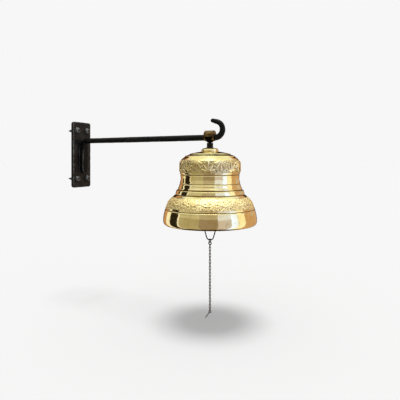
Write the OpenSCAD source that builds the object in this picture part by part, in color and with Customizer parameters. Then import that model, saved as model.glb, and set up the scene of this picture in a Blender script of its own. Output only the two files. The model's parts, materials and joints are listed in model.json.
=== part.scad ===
// A ship bell on a forged wall bracket: four screws hold the plate, the bell hangs from a sliding
// bush on the arm, and a chain pull moves the clapper.
// The origin is the centre of the screw pattern on the back of the plate. The arm runs along +X.

/* [Bell] */
// Outside diameter at the lip
bell_d = 150; // [146:0.5:154]
// Height from the crown to the lip
bell_h = 116; // [112:0.5:120]
// Wall thickness at the shoulder and waist
bell_wall = 3.6; // [3:0.1:4]
// Thickness of the crown
crown_t = 4.4; // [4:0.1:5]

/* [Wall plate] */
// Width of the plate
plate_w = 46; // [44:1:60]
// Height of the plate
plate_h = 123; // [120:1:140]
// Thickness of the plate
plate_t = 7; // [6:0.5:9]
// Radius of the plate's corners
plate_corner_r = 4.5; // [2:0.5:8]
// Distance across between the screws
screw_gap_y = 26; // [24:1:30]
// Distance up between the screws
screw_gap_z = 90; // [86:1:96]

/* [Wall screws] */
// Shank diameter of a wall screw
screw_d = 5; // [4:0.5:5]
// Diameter of a screw's domed head
head_d = 12.6; // [11:0.2:13]
// Height of a screw's domed head
head_h = 4.6; // [3.5:0.1:5]
// Length of a screw behind the plate
screw_reach = 16; // [12:1:40]

/* [Bracket arm] */
// Diameter of the round arm
arm_d = 10; // [9.5:0.5:10]
// Height of the arm above the centre of the screws
arm_up = 26; // [22:1:30]
// Distance from the face of the plate to the bell's axis
arm_reach = 268; // [250:1:300]
// Width of the flattened foot
foot_w = 16; // [14:1:18]
// Thickness of the flattened foot
foot_t = 8; // [6:0.5:9]
// Distance from the arm's axis down to the end of the foot
foot_drop = 60; // [50:1:64]
// Radius of the hook's curl, at the middle of the bar
hook_r = 12.7; // [12:0.1:14]
// Angle that the hook curls through
hook_turn = 164; // [150:1:170]

/* [Hanger] */
// Width of the hanger along the arm
hanger_w = 16; // [14:0.5:16]
// Height of the hanger above the arm's axis
hanger_up = 11.4; // [10:0.1:13]
// Diameter of the threaded stem
stem_d = 6; // [5:0.5:6]

/* [Clapper] */
// Diameter of the clapper's ball
ball_d = 30; // [28:1:30]
// Diameter of the clapper's rod
rod_d = 6; // [5:0.5:7]

/* [Chain pull] */
// Number of chain links, a multiple of three
link_count = 21; // [21:1:21]
// Distance from one link to the next
link_pitch = 5.1; // [5:0.1:5.2]
// Outside width of a link
link_w = 3.6; // [3.6:0.1:4]
// Wire diameter of a link
link_wire = 1.1; // [1:0.05:1.2]

/* [Hidden] */
$fn = 48;

// running clearance between round parts, and the play between two wires that hang on each other
fit = 0.05;
play = 0.1;
// how far a cutter runs past the face that it opens, and how far a straight laps into a bend
bore_through = 1;
lap = 0.1;

bell_x = plate_t + arm_reach;
arm_r = arm_d / 2;

// bend of the arm into its foot
bend_r = 5.5;
foot_x = plate_t + arm_r;

// hook: the curl starts a little past the bell and ends in a tapered tail
hook_start = 9.5;
tail_len = 9;
tail_end_r = 3;

// bush and hanger
bush_wall = 0.8;
bush_len = 17;
bush_r = arm_r + fit + bush_wall;
eye_bore_r = bush_r + fit;
eye_r = 8.2;
funnel_top = 1.4;
funnel_bottom = -4.8;
neck_w = 7.6;

// heights on the bell's axis, measured from the arm's axis
nut_top = -8.6;
nut_bottom = -16.2;
nut_across_flats = 8.9;
cap_r = 13.9;
cap_bottom = -22.6;
crown_z = cap_bottom;
lip_z = crown_z - bell_h;
crown_in_z = crown_z - crown_t;
washer_t = 1.5;
washer_r = 7.5;
eye_nut_top = crown_in_z - washer_t;
eye_nut_h = 5.6;
eye_nut_across_flats = 10;

// rings that the clapper hangs by: an eye under the nut, a link, and the eye of the rod
eye_wire_r = 1.6;
eye_ring_r = 4.5;
eye_ring_z = eye_nut_top - eye_nut_h - 4.6;
link_pivot_z = eye_ring_z - eye_ring_r;
shackle_wire_r = 1.25;
shackle_arc_r = eye_wire_r + 1.5 * play + shackle_wire_r;
shackle_len = 4.5;
clapper_pivot_z = link_pivot_z - shackle_len - shackle_arc_r;
rod_eye_r = shackle_wire_r + 1.5 * play + eye_wire_r;

// ball, with two flats where the bail enters it
ball_r = ball_d / 2;
ball_z = -130;
ball_flat = 11.5;
bail_wire_r = 0.9;
bail_play = 0.25;
bail_hole_r = bail_wire_r + bail_play;
bail_hole_end = 6.5;
bail_half_w = ball_flat + bail_wire_r + 0.2;
bail_straight = 9;
bail_bend_r = 1.6;
bail_bow_r = 6.5;
bail_pivot_tip = 7;
bail_bottom_z = -164.6;

// rings of the pull
ring_a_r = 2.9;
ring_a_wire_r = 0.7;
ring_b_r = 2.4;
ring_b_wire_r = 0.65;
ring_a_z = bail_bottom_z + bail_wire_r + ring_a_wire_r + play - ring_a_r;
ring_a_low = ring_a_z - ring_a_r;
ring_b_z = ring_a_low + ring_a_wire_r + ring_b_wire_r + play - ring_b_r;
ring_b_low = ring_b_z - ring_b_r;

// chain
link_wire_r = link_wire / 2;
link_arc_r = link_w / 2 - link_wire_r;
link_len = link_pitch + link_wire + 1.5 * play;
link_top_z = ring_b_low + ring_b_wire_r + link_wire_r + play;
chain_low = link_top_z - (link_count - 1) * link_pitch - link_len;

// end hook of the chain
end_wire_r = 0.6;
end_eye_r = 1.9;
end_eye_z = chain_low + link_wire_r + end_wire_r + play - end_eye_r;
end_tip_x = -8.3;
end_tip_z = -291;

LINKS = [for (i = [1:link_count]) str("chain_link_", i < 10 ? "0" : "", i)];

// ---- helpers ----

// places children at the bell's axis, at a height measured from the arm's axis
module at_bell(z = 0) {
    translate([bell_x, 0, arm_up + z]) children();
}

// a ring standing in the XZ plane, or in the YZ plane when across is true
module standing_ring(ring_r, wire_r, across = false) {
    rotate([0, 0, across ? 90 : 0])
        rotate([90, 0, 0])
            rotate_extrude() translate([ring_r, 0]) circle(r = wire_r);
}

// half a ring in the XZ plane, above or below its centre
module half_ring(ring_r, wire_r, up) {
    rotate([90, 0, 0])
        rotate([0, 0, up ? 0 : 180])
            rotate_extrude(angle = 180) translate([ring_r, 0]) circle(r = wire_r);
}

// an oval link: two half rings and two straight legs, with its top arc centred on the origin
module oval_link(arc_r, wire_r, straight, across = false) {
    rotate([0, 0, across ? 90 : 0]) {
        half_ring(arc_r, wire_r, true);
        translate([0, 0, -straight]) half_ring(arc_r, wire_r, false);
        for (side = [-1, 1])
            translate([side * arc_r, 0, -straight]) cylinder(r = wire_r, h = straight);
    }
}

// a straight round wire between two points of the XZ plane; it laps into the bends at its ends
module wire_xz(from, to, wire_r) {
    run = to - from;
    translate([from[0], 0, from[1]])
        rotate([0, atan2(run[0], run[1]), 0])
            translate([0, 0, -lap]) cylinder(r = wire_r - lap / 10, h = norm(run) + 2 * lap);
}

// a rectangle with round corners, centred
module rounded_rect(w, h, r) {
    square([w - 2 * r, h], center = true);
    square([w, h - 2 * r], center = true);
    for (x = [-1, 1], y = [-1, 1])
        translate([x * (w / 2 - r), y * (h / 2 - r)]) circle(r = r);
}

// a hexagonal nut with its corners turned off at both ends, standing on z = 0
module hex_nut(across_flats, h, bore_r) {
    corner_r = across_flats / 2 / cos(30);
    chamfer = 0.7;
    difference() {
        intersection() {
            cylinder(r = corner_r, h = h, $fn = 6);
            union() {
                cylinder(r1 = corner_r - chamfer, r2 = corner_r, h = chamfer / 2);
                translate([0, 0, chamfer / 2]) cylinder(r = corner_r, h = h - chamfer);
                translate([0, 0, h - chamfer / 2])
                    cylinder(r1 = corner_r, r2 = corner_r - chamfer, h = chamfer / 2);
            }
        }
        if (bore_r > 0)
            translate([0, 0, -bore_through]) cylinder(r = bore_r, h = h + 2 * bore_through);
    }
}

// places children at each of the four screws, looking along +X
module at_screws() {
    for (y = [-1, 1], z = [-1, 1])
        translate([0, y * screw_gap_y / 2, z * screw_gap_z / 2])
            rotate([0, 90, 0]) children();
}

// ---- bell profile ----

// outside radius steps of the bell, as fractions of the lip radius, with heights below the crown
// as fractions of the bell's height; the grooves, beads and steps of the casting are all here
lip_r = bell_d / 2;
OUTLINE = [
    [0.185, 0.000], [0.270, 0.008], [0.432, 0.030], [0.438, 0.040], [0.535, 0.062],
    [0.545, 0.075], [0.596, 0.098], [0.628, 0.125], [0.642, 0.160], [0.643, 0.298],
    [0.640, 0.310], [0.621, 0.318], [0.632, 0.327], [0.632, 0.341], [0.625, 0.352],
    [0.625, 0.372], [0.634, 0.410], [0.647, 0.432], [0.636, 0.440], [0.650, 0.448], [0.668, 0.485],
    [0.689, 0.512], [0.676, 0.520], [0.716, 0.530], [0.738, 0.576], [0.728, 0.586],
    [0.762, 0.600], [0.795, 0.618], [0.838, 0.640], [0.874, 0.666], [0.906, 0.700],
    [0.930, 0.738], [0.944, 0.762], [0.953, 0.776], [0.942, 0.786], [0.963, 0.796],
    [0.966, 0.812], [0.980, 0.842], [0.990, 0.876], [0.998, 0.910], [1.000, 0.940],
    [0.996, 0.966], [0.984, 0.986], [0.958, 1.000]
];
// the same for the inside, from the lip up: the wall thickens into the sound bow
INSIDE = [
    [0.914, 1.000], [0.903, 0.940], [0.886, 0.870], [0.866, 0.800], [0.846, 0.742],
    [0.826, 0.690], [0.796, 0.650], [0.738, 0.612], [0.676, 0.590], [0.640, 0.530],
    [0.596, 0.440], [0.572, 0.372], [0.572, 0.310], [0.592, 0.270], [0.594, 0.160],
    [0.573, 0.114], [0.515, 0.092], [0.390, 0.066]
];

module bell_section() {
    thin = 3.6 - bell_wall;
    polygon(concat(
        [[stem_d / 2 + fit, 0]],
        [for (p = OUTLINE) [p[0] * lip_r, -p[1] * bell_h]],
        [for (p = INSIDE) [p[0] * lip_r + thin, -p[1] * bell_h]],
        [[washer_r + 1, -crown_t], [stem_d / 2 + fit, -crown_t]]
    ));
}

// ---- bracket ----

module back_plate() {
    color("#2b2b2e")
        difference() {
            rotate([90, 0, 90]) linear_extrude(plate_t)
                rounded_rect(plate_w, plate_h, plate_corner_r);
            at_screws() translate([0, 0, -bore_through])
                cylinder(r = screw_d / 2 + 0.3, h = plate_t + 2 * bore_through);
        }
}

// the flattened end of the bar, flat on the plate, with a round lower end
module foot_flat() {
    top_round = 5;
    length = foot_drop - foot_w / 2;
    translate([plate_t, 0, arm_up])
        rotate([90, 0, 90]) linear_extrude(foot_t) {
            translate([0, -foot_drop + foot_w / 2]) circle(d = foot_w);
            translate([-foot_w / 2, -length]) square([foot_w, length - bend_r - top_round]);
            translate([-foot_w / 2 + top_round, -length])
                square([foot_w - 2 * top_round, length - bend_r]);
            for (side = [-1, 1])
                translate([side * (foot_w / 2 - top_round), -bend_r - top_round])
                    circle(r = top_round);
        }
}

module bracket_arm() {
    bend_x = foot_x + bend_r;
    color("#232326") {
        foot_flat();
        // bend, from the foot up into the arm
        translate([bend_x, 0, arm_up - bend_r])
            rotate([90, 0, 0]) rotate([0, 0, 90])
                rotate_extrude(angle = 90) translate([bend_r, 0]) circle(r = arm_r);
        translate([foot_x, 0, arm_up - bend_r - foot_t])
            cylinder(r1 = foot_t / 2 - 0.5, r2 = arm_r, h = foot_t);
        // arm
        translate([bend_x, 0, arm_up])
            rotate([0, 90, 0]) cylinder(r = arm_r, h = bell_x + hook_start - bend_x);
        // curl of the hook and its tapered tail
        translate([bell_x + hook_start, 0, arm_up + hook_r])
            rotate([90, 0, 0]) rotate([0, 0, -90]) {
                rotate_extrude(angle = hook_turn) translate([hook_r, 0]) circle(r = arm_r);
                rotate([0, 0, hook_turn]) translate([hook_r, 0, 0]) rotate([-90, 0, 0]) {
                    translate([0, 0, -4 * lap])
                        cylinder(r1 = arm_r - lap, r2 = tail_end_r, h = tail_len + 4 * lap);
                    translate([0, 0, tail_len]) sphere(r = tail_end_r);
                }
            }
    }
}

// a bead of weld along the two sides of the foot
module foot_weld() {
    bead_r = 1.8;
    bead_len = foot_drop - bend_r - foot_w / 2 - 8;
    color("#3a3a3d")
        difference() {
            for (side = [-1, 1])
                translate([plate_t, side * foot_w / 2, arm_up - foot_drop + foot_w / 2]) {
                    cylinder(r = bead_r, h = bead_len);
                    sphere(r = bead_r);
                    translate([0, 0, bead_len]) sphere(r = bead_r);
                }
            translate([-plate_t, -plate_w, -plate_h]) cube([2 * plate_t, 2 * plate_w, 2 * plate_h]);
            foot_flat();
        }
}

module wall_screws() {
    rim_h = 0.9;
    dome_h = head_h - rim_h;
    dome_r = (head_d * head_d / 4 + dome_h * dome_h) / (2 * dome_h);
    point_len = 7;
    // plain neck that fills the plate's hole, a little thicker than the thread
    neck_step = 0.4;
    neck_lap = 0.5;
    recess_r = 2.6;
    recess_depth = 2.4;
    color("#2a2a2c")
        at_screws() {
            translate([0, 0, plate_t]) difference() {
                intersection() {
                    cylinder(d = head_d, h = head_h + bore_through);
                    translate([0, 0, head_h - dome_r]) sphere(r = dome_r);
                }
                translate([0, 0, head_h - recess_depth])
                    cylinder(r = recess_r, h = recess_depth + bore_through);
                translate([0, 0, -2 * dome_r]) cylinder(r = 2 * dome_r, h = 2 * dome_r);
            }
            cylinder(d = screw_d + neck_step, h = plate_t);
            translate([0, 0, -screw_reach + point_len])
                cylinder(d = screw_d, h = screw_reach - point_len + neck_lap);
            translate([0, 0, -screw_reach])
                cylinder(d1 = 0.6, d2 = screw_d, h = point_len);
        }
}

// ---- what slides and swings on the arm ----

module pivot_bush() {
    color("#7c6232")
        at_bell() rotate([0, 90, 0]) difference() {
            cylinder(r = bush_r, h = bush_len, center = true);
            cylinder(r = arm_r + fit, h = bush_len + 2 * bore_through, center = true);
        }
}

// a loop round the bush that funnels into a neck, with the threaded stem under it
module hanger_eye() {
    loop_low = -eye_r;
    stem_low = eye_nut_top - eye_nut_h + 1;
    color("#6d5429")
        at_bell() {
            difference() {
                intersection() {
                    rotate([90, 0, 90]) linear_extrude(hanger_w, center = true) {
                        circle(r = eye_r);
                        translate([0, hanger_up - eye_r]) circle(r = eye_r);
                        translate([-eye_r, 0]) square([2 * eye_r, hanger_up - eye_r]);
                    }
                    rotate([90, 0, 0]) linear_extrude(4 * eye_r, center = true)
                        polygon([
                            [-hanger_w / 2, hanger_up], [hanger_w / 2, hanger_up],
                            [hanger_w / 2, funnel_top], [neck_w / 2, funnel_bottom],
                            [neck_w / 2, loop_low - 1], [-neck_w / 2, loop_low - 1],
                            [-neck_w / 2, funnel_bottom], [-hanger_w / 2, funnel_top]
                        ]);
                }
                rotate([0, 90, 0])
                    cylinder(r = eye_bore_r, h = 2 * hanger_w, center = true);
            }
            translate([0, 0, nut_top]) cylinder(d = neck_w, h = -nut_top - eye_bore_r - 0.6);
            translate([0, 0, stem_low]) cylinder(d = stem_d, h = nut_top - stem_low);
        }
}

module crown_nut() {
    color("#1f1f21")
        at_bell(nut_bottom) rotate([0, 0, 10])
            hex_nut(nut_across_flats, nut_top - nut_bottom, stem_d / 2 + fit);
}

// the domed brass boss between the nut and the crown
module crown_cap() {
    cap_h = nut_bottom - cap_bottom;
    color("#a67c2e")
        at_bell(cap_bottom) rotate_extrude()
            polygon([
                [stem_d / 2 + fit, 0], [cap_r, 0], [cap_r, 0.45 * cap_h], [0.94 * cap_r, 0.66 * cap_h],
                [0.78 * cap_r, 0.86 * cap_h], [0.5 * cap_r, cap_h], [stem_d / 2 + fit, cap_h]
            ]);
}

module bell_shell() {
    color("#c8982f")
        at_bell(crown_z) rotate_extrude() bell_section();
}

module inner_washer() {
    color("#b08a3a")
        at_bell(crown_in_z - washer_t) difference() {
            cylinder(r = washer_r, h = washer_t);
            translate([0, 0, -bore_through])
                cylinder(r = stem_d / 2 + fit, h = washer_t + 2 * bore_through);
        }
}

// a nut inside the bell with an eye under it, which carries the clapper
module eye_nut() {
    color("#8d6d2e")
        at_bell() difference() {
            union() {
                translate([0, 0, eye_nut_top - eye_nut_h])
                    hex_nut(eye_nut_across_flats, eye_nut_h, 0);
                translate([0, 0, eye_ring_z]) standing_ring(eye_ring_r, eye_wire_r);
            }
            translate([0, 0, eye_nut_top - eye_nut_h + 1])
                cylinder(r = stem_d / 2 + fit, h = eye_nut_h);
        }
}

// ---- clapper ----

module clapper_shackle() {
    color("#4a4036")
        at_bell(link_pivot_z)
            oval_link(shackle_arc_r, shackle_wire_r, shackle_len, across = true);
}

module clapper_rod() {
    rod_top = clapper_pivot_z - rod_eye_r;
    color("#3b352e")
        at_bell() {
            translate([0, 0, clapper_pivot_z]) standing_ring(rod_eye_r, eye_wire_r);
            translate([0, 0, ball_z + ball_r - 3]) cylinder(
                d1 = rod_d, d2 = 2 * eye_wire_r + 0.6, h = rod_top - ball_z - ball_r + 3);
        }
}

module clapper_ball() {
    color("#4b3a24")
        at_bell(ball_z) difference() {
            sphere(r = ball_r);
            for (side = [-1, 1]) {
                translate([side * (ball_flat + ball_r), 0, 0])
                    cube([2 * ball_r, 2 * ball_r + 1, 2 * ball_r + 1], center = true);
                rotate([0, side * 90, 0]) translate([0, 0, bail_hole_end])
                    cylinder(r = bail_hole_r, h = ball_r);
            }
            // the rod is riveted into this blind hole
            translate([0, 0, ball_r - 3]) cylinder(d = rod_d, h = ball_r);
        }
}

// ---- chain pull ----

// an arc of round wire in the XZ plane about the origin, counted from +X towards +Z
module wire_arc(arc_r, wire_r, from, turn) {
    rotate([90, 0, 0]) rotate([0, 0, from])
        rotate_extrude(angle = turn) translate([arc_r, 0]) circle(r = wire_r);
}

// a bow of wire: its ends turn in the ball, and the chain hangs from its bottom
module pull_bail() {
    bow_z = bail_bottom_z + bail_bow_r;
    // the leg leans in by the angle at which it meets both the straight part and the bow
    bend_z = ball_z - bail_straight;
    bend_x = bail_half_w - bail_bend_r;
    across = bend_x;
    down = bend_z - bow_z;
    lean = atan2(across, down) - asin((bail_bow_r - bail_bend_r) / norm([across, down]));
    leg_top = [bend_x + bail_bend_r * cos(lean), bend_z - bail_bend_r * sin(lean)];
    leg_low = [bail_bow_r * cos(lean), bow_z - bail_bow_r * sin(lean)];
    color("#1d1d1f")
        at_bell() {
            translate([0, 0, bow_z])
                wire_arc(bail_bow_r, bail_wire_r, 180 + lean, 180 - 2 * lean);
            for (side = [0, 1]) mirror([side, 0, 0]) {
                // the end that turns in the ball, and the bend out of it
                wire_xz([bail_pivot_tip, ball_z], [bail_half_w - bail_bend_r, ball_z], bail_wire_r);
                translate([bail_half_w - bail_bend_r, 0, ball_z - bail_bend_r])
                    wire_arc(bail_bend_r, bail_wire_r, 0, 90);
                wire_xz([bail_half_w, bend_z], [bail_half_w, ball_z - bail_bend_r], bail_wire_r);
                translate([bend_x, 0, bend_z])
                    wire_arc(bail_bend_r, bail_wire_r, -lean, lean);
                wire_xz(leg_low, leg_top, bail_wire_r);
            }
        }
}

module pull_ring_upper() {
    color("#7a5c2c") at_bell(ring_a_z) standing_ring(ring_a_r, ring_a_wire_r, across = true);
}

module pull_ring_lower() {
    color("#7a5c2c") at_bell(ring_b_z) standing_ring(ring_b_r, ring_b_wire_r);
}

// one link of the chain: odd links stand across the arm, even links along it
module chain_link(i) {
    color("#8a6a35")
        at_bell(link_top_z - (i - 1) * link_pitch - link_arc_r)
            oval_link(link_arc_r, link_wire_r, link_len - 2 * link_arc_r, across = i % 2 == 1);
}

// the last piece: an eye in the last link, and a slanting wire tail
module chain_end_hook() {
    tail_top = [-end_eye_r * cos(45), end_eye_z - end_eye_r * sin(45)];
    color("#5d4a2b")
        at_bell() {
            translate([0, 0, end_eye_z]) standing_ring(end_eye_r, end_wire_r);
            wire_xz(tail_top, [end_tip_x, end_tip_z], end_wire_r);
            translate([end_tip_x, 0, end_tip_z]) sphere(r = end_wire_r);
        }
}

back_plate();
bracket_arm();
foot_weld();
wall_screws();
pivot_bush();
hanger_eye();
crown_nut();
crown_cap();
bell_shell();
inner_washer();
eye_nut();
clapper_shackle();
clapper_rod();
clapper_ball();
pull_bail();
pull_ring_upper();
pull_ring_lower();
for (i = [1:link_count]) chain_link(i);
chain_end_hook();
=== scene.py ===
"""Looks of a ship bell on a forged wall bracket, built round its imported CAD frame.

Each sub-assembly is a class: Bracket, Hanger, Bell, Clapper and Pull. They share the mesh tools
in Lattice and Turning and the finishes in the second part. Studio holds the floor, the light
and the camera. All lengths are in metres, in the frame of the CAD part.
"""

import json
import logging
import math
from collections.abc import Sequence
from dataclasses import dataclass, field
from enum import Enum
from typing import Any

import bpy
import numpy as np
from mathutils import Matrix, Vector

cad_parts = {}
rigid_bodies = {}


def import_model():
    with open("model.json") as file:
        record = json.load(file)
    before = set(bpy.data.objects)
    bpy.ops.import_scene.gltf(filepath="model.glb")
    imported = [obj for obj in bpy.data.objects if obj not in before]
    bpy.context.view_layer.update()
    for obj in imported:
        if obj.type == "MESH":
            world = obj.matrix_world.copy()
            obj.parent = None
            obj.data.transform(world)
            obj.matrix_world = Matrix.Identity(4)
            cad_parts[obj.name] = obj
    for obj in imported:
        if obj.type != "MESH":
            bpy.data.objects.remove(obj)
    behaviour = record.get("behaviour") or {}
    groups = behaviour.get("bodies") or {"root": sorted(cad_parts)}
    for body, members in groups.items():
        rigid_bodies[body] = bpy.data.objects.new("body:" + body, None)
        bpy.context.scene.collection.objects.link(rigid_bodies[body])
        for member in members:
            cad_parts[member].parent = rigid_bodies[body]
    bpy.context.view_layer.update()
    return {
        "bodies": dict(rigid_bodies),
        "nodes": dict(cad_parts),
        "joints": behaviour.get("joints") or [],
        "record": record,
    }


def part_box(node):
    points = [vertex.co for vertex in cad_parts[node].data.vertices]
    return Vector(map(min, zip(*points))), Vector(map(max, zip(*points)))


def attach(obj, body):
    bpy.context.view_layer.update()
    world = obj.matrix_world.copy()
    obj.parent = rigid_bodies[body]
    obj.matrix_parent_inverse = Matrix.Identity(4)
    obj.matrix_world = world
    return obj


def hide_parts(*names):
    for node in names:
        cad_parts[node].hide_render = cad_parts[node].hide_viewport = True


LOG = logging.getLogger("ship_bell")
MM = 0.001

X_AXIS = np.array([1.0, 0.0, 0.0])
Y_AXIS = np.array([0.0, 1.0, 0.0])
Z_AXIS = np.array([0.0, 0.0, 1.0])
SQUARE = ((-1, -1), (1, -1), (1, 1), (-1, 1))


class Slot(str, Enum):
    """Material slots of the part's record."""

    POLISHED_BRASS = "polished_brass"
    BLACK_IRON = "black_iron"
    BLACK_SCREWS = "black_screws"
    AGED_BRASS = "aged_brass"
    CHAIN_BRASS = "chain_brass"
    BLACK_WIRE = "black_wire"
    CLAPPER_IRON = "clapper_iron"


# ---------------------------------------------------------------------------
# Mesh tools
# ---------------------------------------------------------------------------


def smooth_step(low: float, high: float, value: np.ndarray) -> np.ndarray:
    """A soft 0 to 1 ramp of value between low and high."""
    t = np.clip((value - low) / (high - low), 0.0, 1.0)
    return t * t * (3.0 - 2.0 * t)


def value_noise(points: np.ndarray, cell: float, seed: int) -> np.ndarray:
    """Smooth noise in space, made from random values on a cubic lattice.

    Args:
        points: Positions, shape (n, 3).
        cell: Edge of a lattice cell.
        seed: Seed of the random values.

    Returns:
        One value from -1 to 1 for each point.
    """
    table_size = 31
    table = np.random.default_rng(seed).uniform(-1.0, 1.0, (table_size,) * 3)
    scaled = points / cell
    base = np.floor(scaled).astype(int)
    t = scaled - base
    t = t * t * (3.0 - 2.0 * t)
    total = np.zeros(len(points))
    for corner in np.ndindex(2, 2, 2):
        index = (base + np.array(corner)) % table_size
        weight = np.prod(np.where(np.array(corner) == 1, t, 1.0 - t), axis=1)
        total += weight * table[index[:, 0], index[:, 1], index[:, 2]]
    return total


@dataclass
class Lattice:
    """Rows of points joined into a skin, the common form of every mesh here.

    Attributes:
        points: Positions, shape (rows, columns, 3).
        wrap_rows: Whether the last row joins the first, as on a ring.
        cap_start: Whether the first row is closed by a fan.
        cap_end: Whether the last row is closed by a fan.
        marks: Point attributes, each of shape (rows, columns).
    """

    points: np.ndarray
    wrap_rows: bool = False
    cap_start: bool = False
    cap_end: bool = False
    marks: dict[str, np.ndarray] = field(default_factory=dict)

    def moved(self, origin: Sequence[float], axis: np.ndarray = Z_AXIS) -> "Lattice":
        """The same lattice with its own +Z turned to an axis and its zero put at origin.

        Args:
            origin: Where the lattice's own zero goes.
            axis: Unit vector that its own +Z goes along.

        Returns:
            The lattice itself, changed in place.
        """
        helper = X_AXIS if abs(axis[0]) < 0.9 else Y_AXIS
        across = np.cross(helper, axis)
        across /= np.linalg.norm(across)
        turn = np.stack([np.cross(across, axis), across, axis])
        self.points = self.points @ turn + np.asarray(origin, float)
        return self

    def flat(self) -> tuple[np.ndarray, list[tuple[int, ...]], dict[str, np.ndarray]]:
        """Vertices, faces and attributes of the skin and its caps."""
        rows, columns = self.points.shape[:2]
        verts = self.points.reshape(-1, 3)
        last = rows if self.wrap_rows else rows - 1
        r = np.arange(last)[:, None]
        c = np.arange(columns)[None, :]
        here, there = r * columns, (r + 1) % rows * columns
        nxt = (c + 1) % columns
        quads = np.stack([here + c, here + nxt, there + nxt, there + c], axis=-1).reshape(-1, 4)
        faces = list(map(tuple, quads.tolist()))
        marks = {k: v.reshape(-1) for k, v in self.marks.items()}
        for wanted, row in ((self.cap_start, 0), (self.cap_end, rows - 1)):
            if not wanted:
                continue
            centre = len(verts)
            verts = np.vstack([verts, self.points[row].mean(axis=0)])
            marks = {k: np.append(v, self.marks[k][row].mean()) for k, v in marks.items()}
            for i in range(columns):
                a, b = row * columns + i, row * columns + (i + 1) % columns
                faces.append((b, a, centre) if row == 0 else (a, b, centre))
        return verts, faces, marks


def signed_volume(verts: np.ndarray, faces: list[tuple[int, ...]]) -> float:
    """Volume enclosed by the faces, negative where they face inwards."""
    total = 0.0
    for size in {len(f) for f in faces}:
        chosen = np.array([f for f in faces if len(f) == size])
        a = verts[chosen[:, 0]]
        for k in range(1, size - 1):
            b, c = verts[chosen[:, k]], verts[chosen[:, k + 1]]
            total += float(np.einsum("ij,ij->i", a, np.cross(b, c)).sum())
    return total / 6.0


def build_object(
    name: str,
    parts: Sequence[Lattice],
    material: bpy.types.Material,
    sharp_degrees: float = 40.0,
) -> bpy.types.Object:
    """Makes one Blender object from lattices.

    Args:
        name: Name of the object.
        parts: The lattices, each a closed skin.
        material: Finish of the whole object.
        sharp_degrees: Edges that turn by more than this stay crisp.

    Returns:
        The new object, linked into the scene.
    """
    all_verts, all_faces, marks, count = [], [], {}, 0
    for part in parts:
        verts, faces, own_marks = part.flat()
        if signed_volume(verts, faces) < 0:
            faces = [f[::-1] for f in faces]
        all_faces += [tuple(i + count for i in f) for f in faces]
        all_verts.append(verts)
        for key in ("cavity", "edge"):
            marks.setdefault(key, []).append(own_marks.get(key, np.zeros(len(verts))))
        count += len(verts)
    return mesh_object(
        name,
        np.vstack(all_verts),
        all_faces,
        material,
        {k: np.concatenate(v) for k, v in marks.items()},
        sharp_degrees,
    )


def mesh_object(
    name: str,
    verts: np.ndarray,
    faces: list[tuple[int, ...]],
    material: bpy.types.Material,
    marks: dict[str, np.ndarray],
    sharp_degrees: float = 40.0,
) -> bpy.types.Object:
    """Makes a Blender object from vertices, faces and point attributes."""
    mesh = bpy.data.meshes.new(name)
    mesh.from_pydata(verts.tolist(), [], faces)
    for key, values in marks.items():
        attribute = mesh.attributes.new(key, "FLOAT", "POINT")
        attribute.data.foreach_set("value", values.astype(np.float32))
    mesh.materials.append(material)
    mesh.polygons.foreach_set("use_smooth", [True] * len(mesh.polygons))
    mesh.set_sharp_from_angle(angle=math.radians(sharp_degrees))
    mesh.update()
    piece = bpy.data.objects.new(name, mesh)
    bpy.context.scene.collection.objects.link(piece)
    return piece


@dataclass(frozen=True)
class Thread:
    """A helical thread cut on a turned shank.

    Attributes:
        pitch: Height of one turn.
        depth: Depth from crest to root.
        low: Height at which the thread starts.
        high: Height at which it ends.
    """

    pitch: float
    depth: float
    low: float
    high: float

    def cut(self, height: np.ndarray, turn: np.ndarray) -> np.ndarray:
        """How far the surface lies under the crest, by height and by turn from 0 to 1."""
        wave = np.abs(((height / self.pitch - turn) % 1.0) * 2.0 - 1.0)
        ends = smooth_step(self.low, self.low + self.pitch, height)
        ends = ends * (1.0 - smooth_step(self.high - self.pitch, self.high, height))
        return self.depth * smooth_step(0.15, 0.85, wave) * ends


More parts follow.
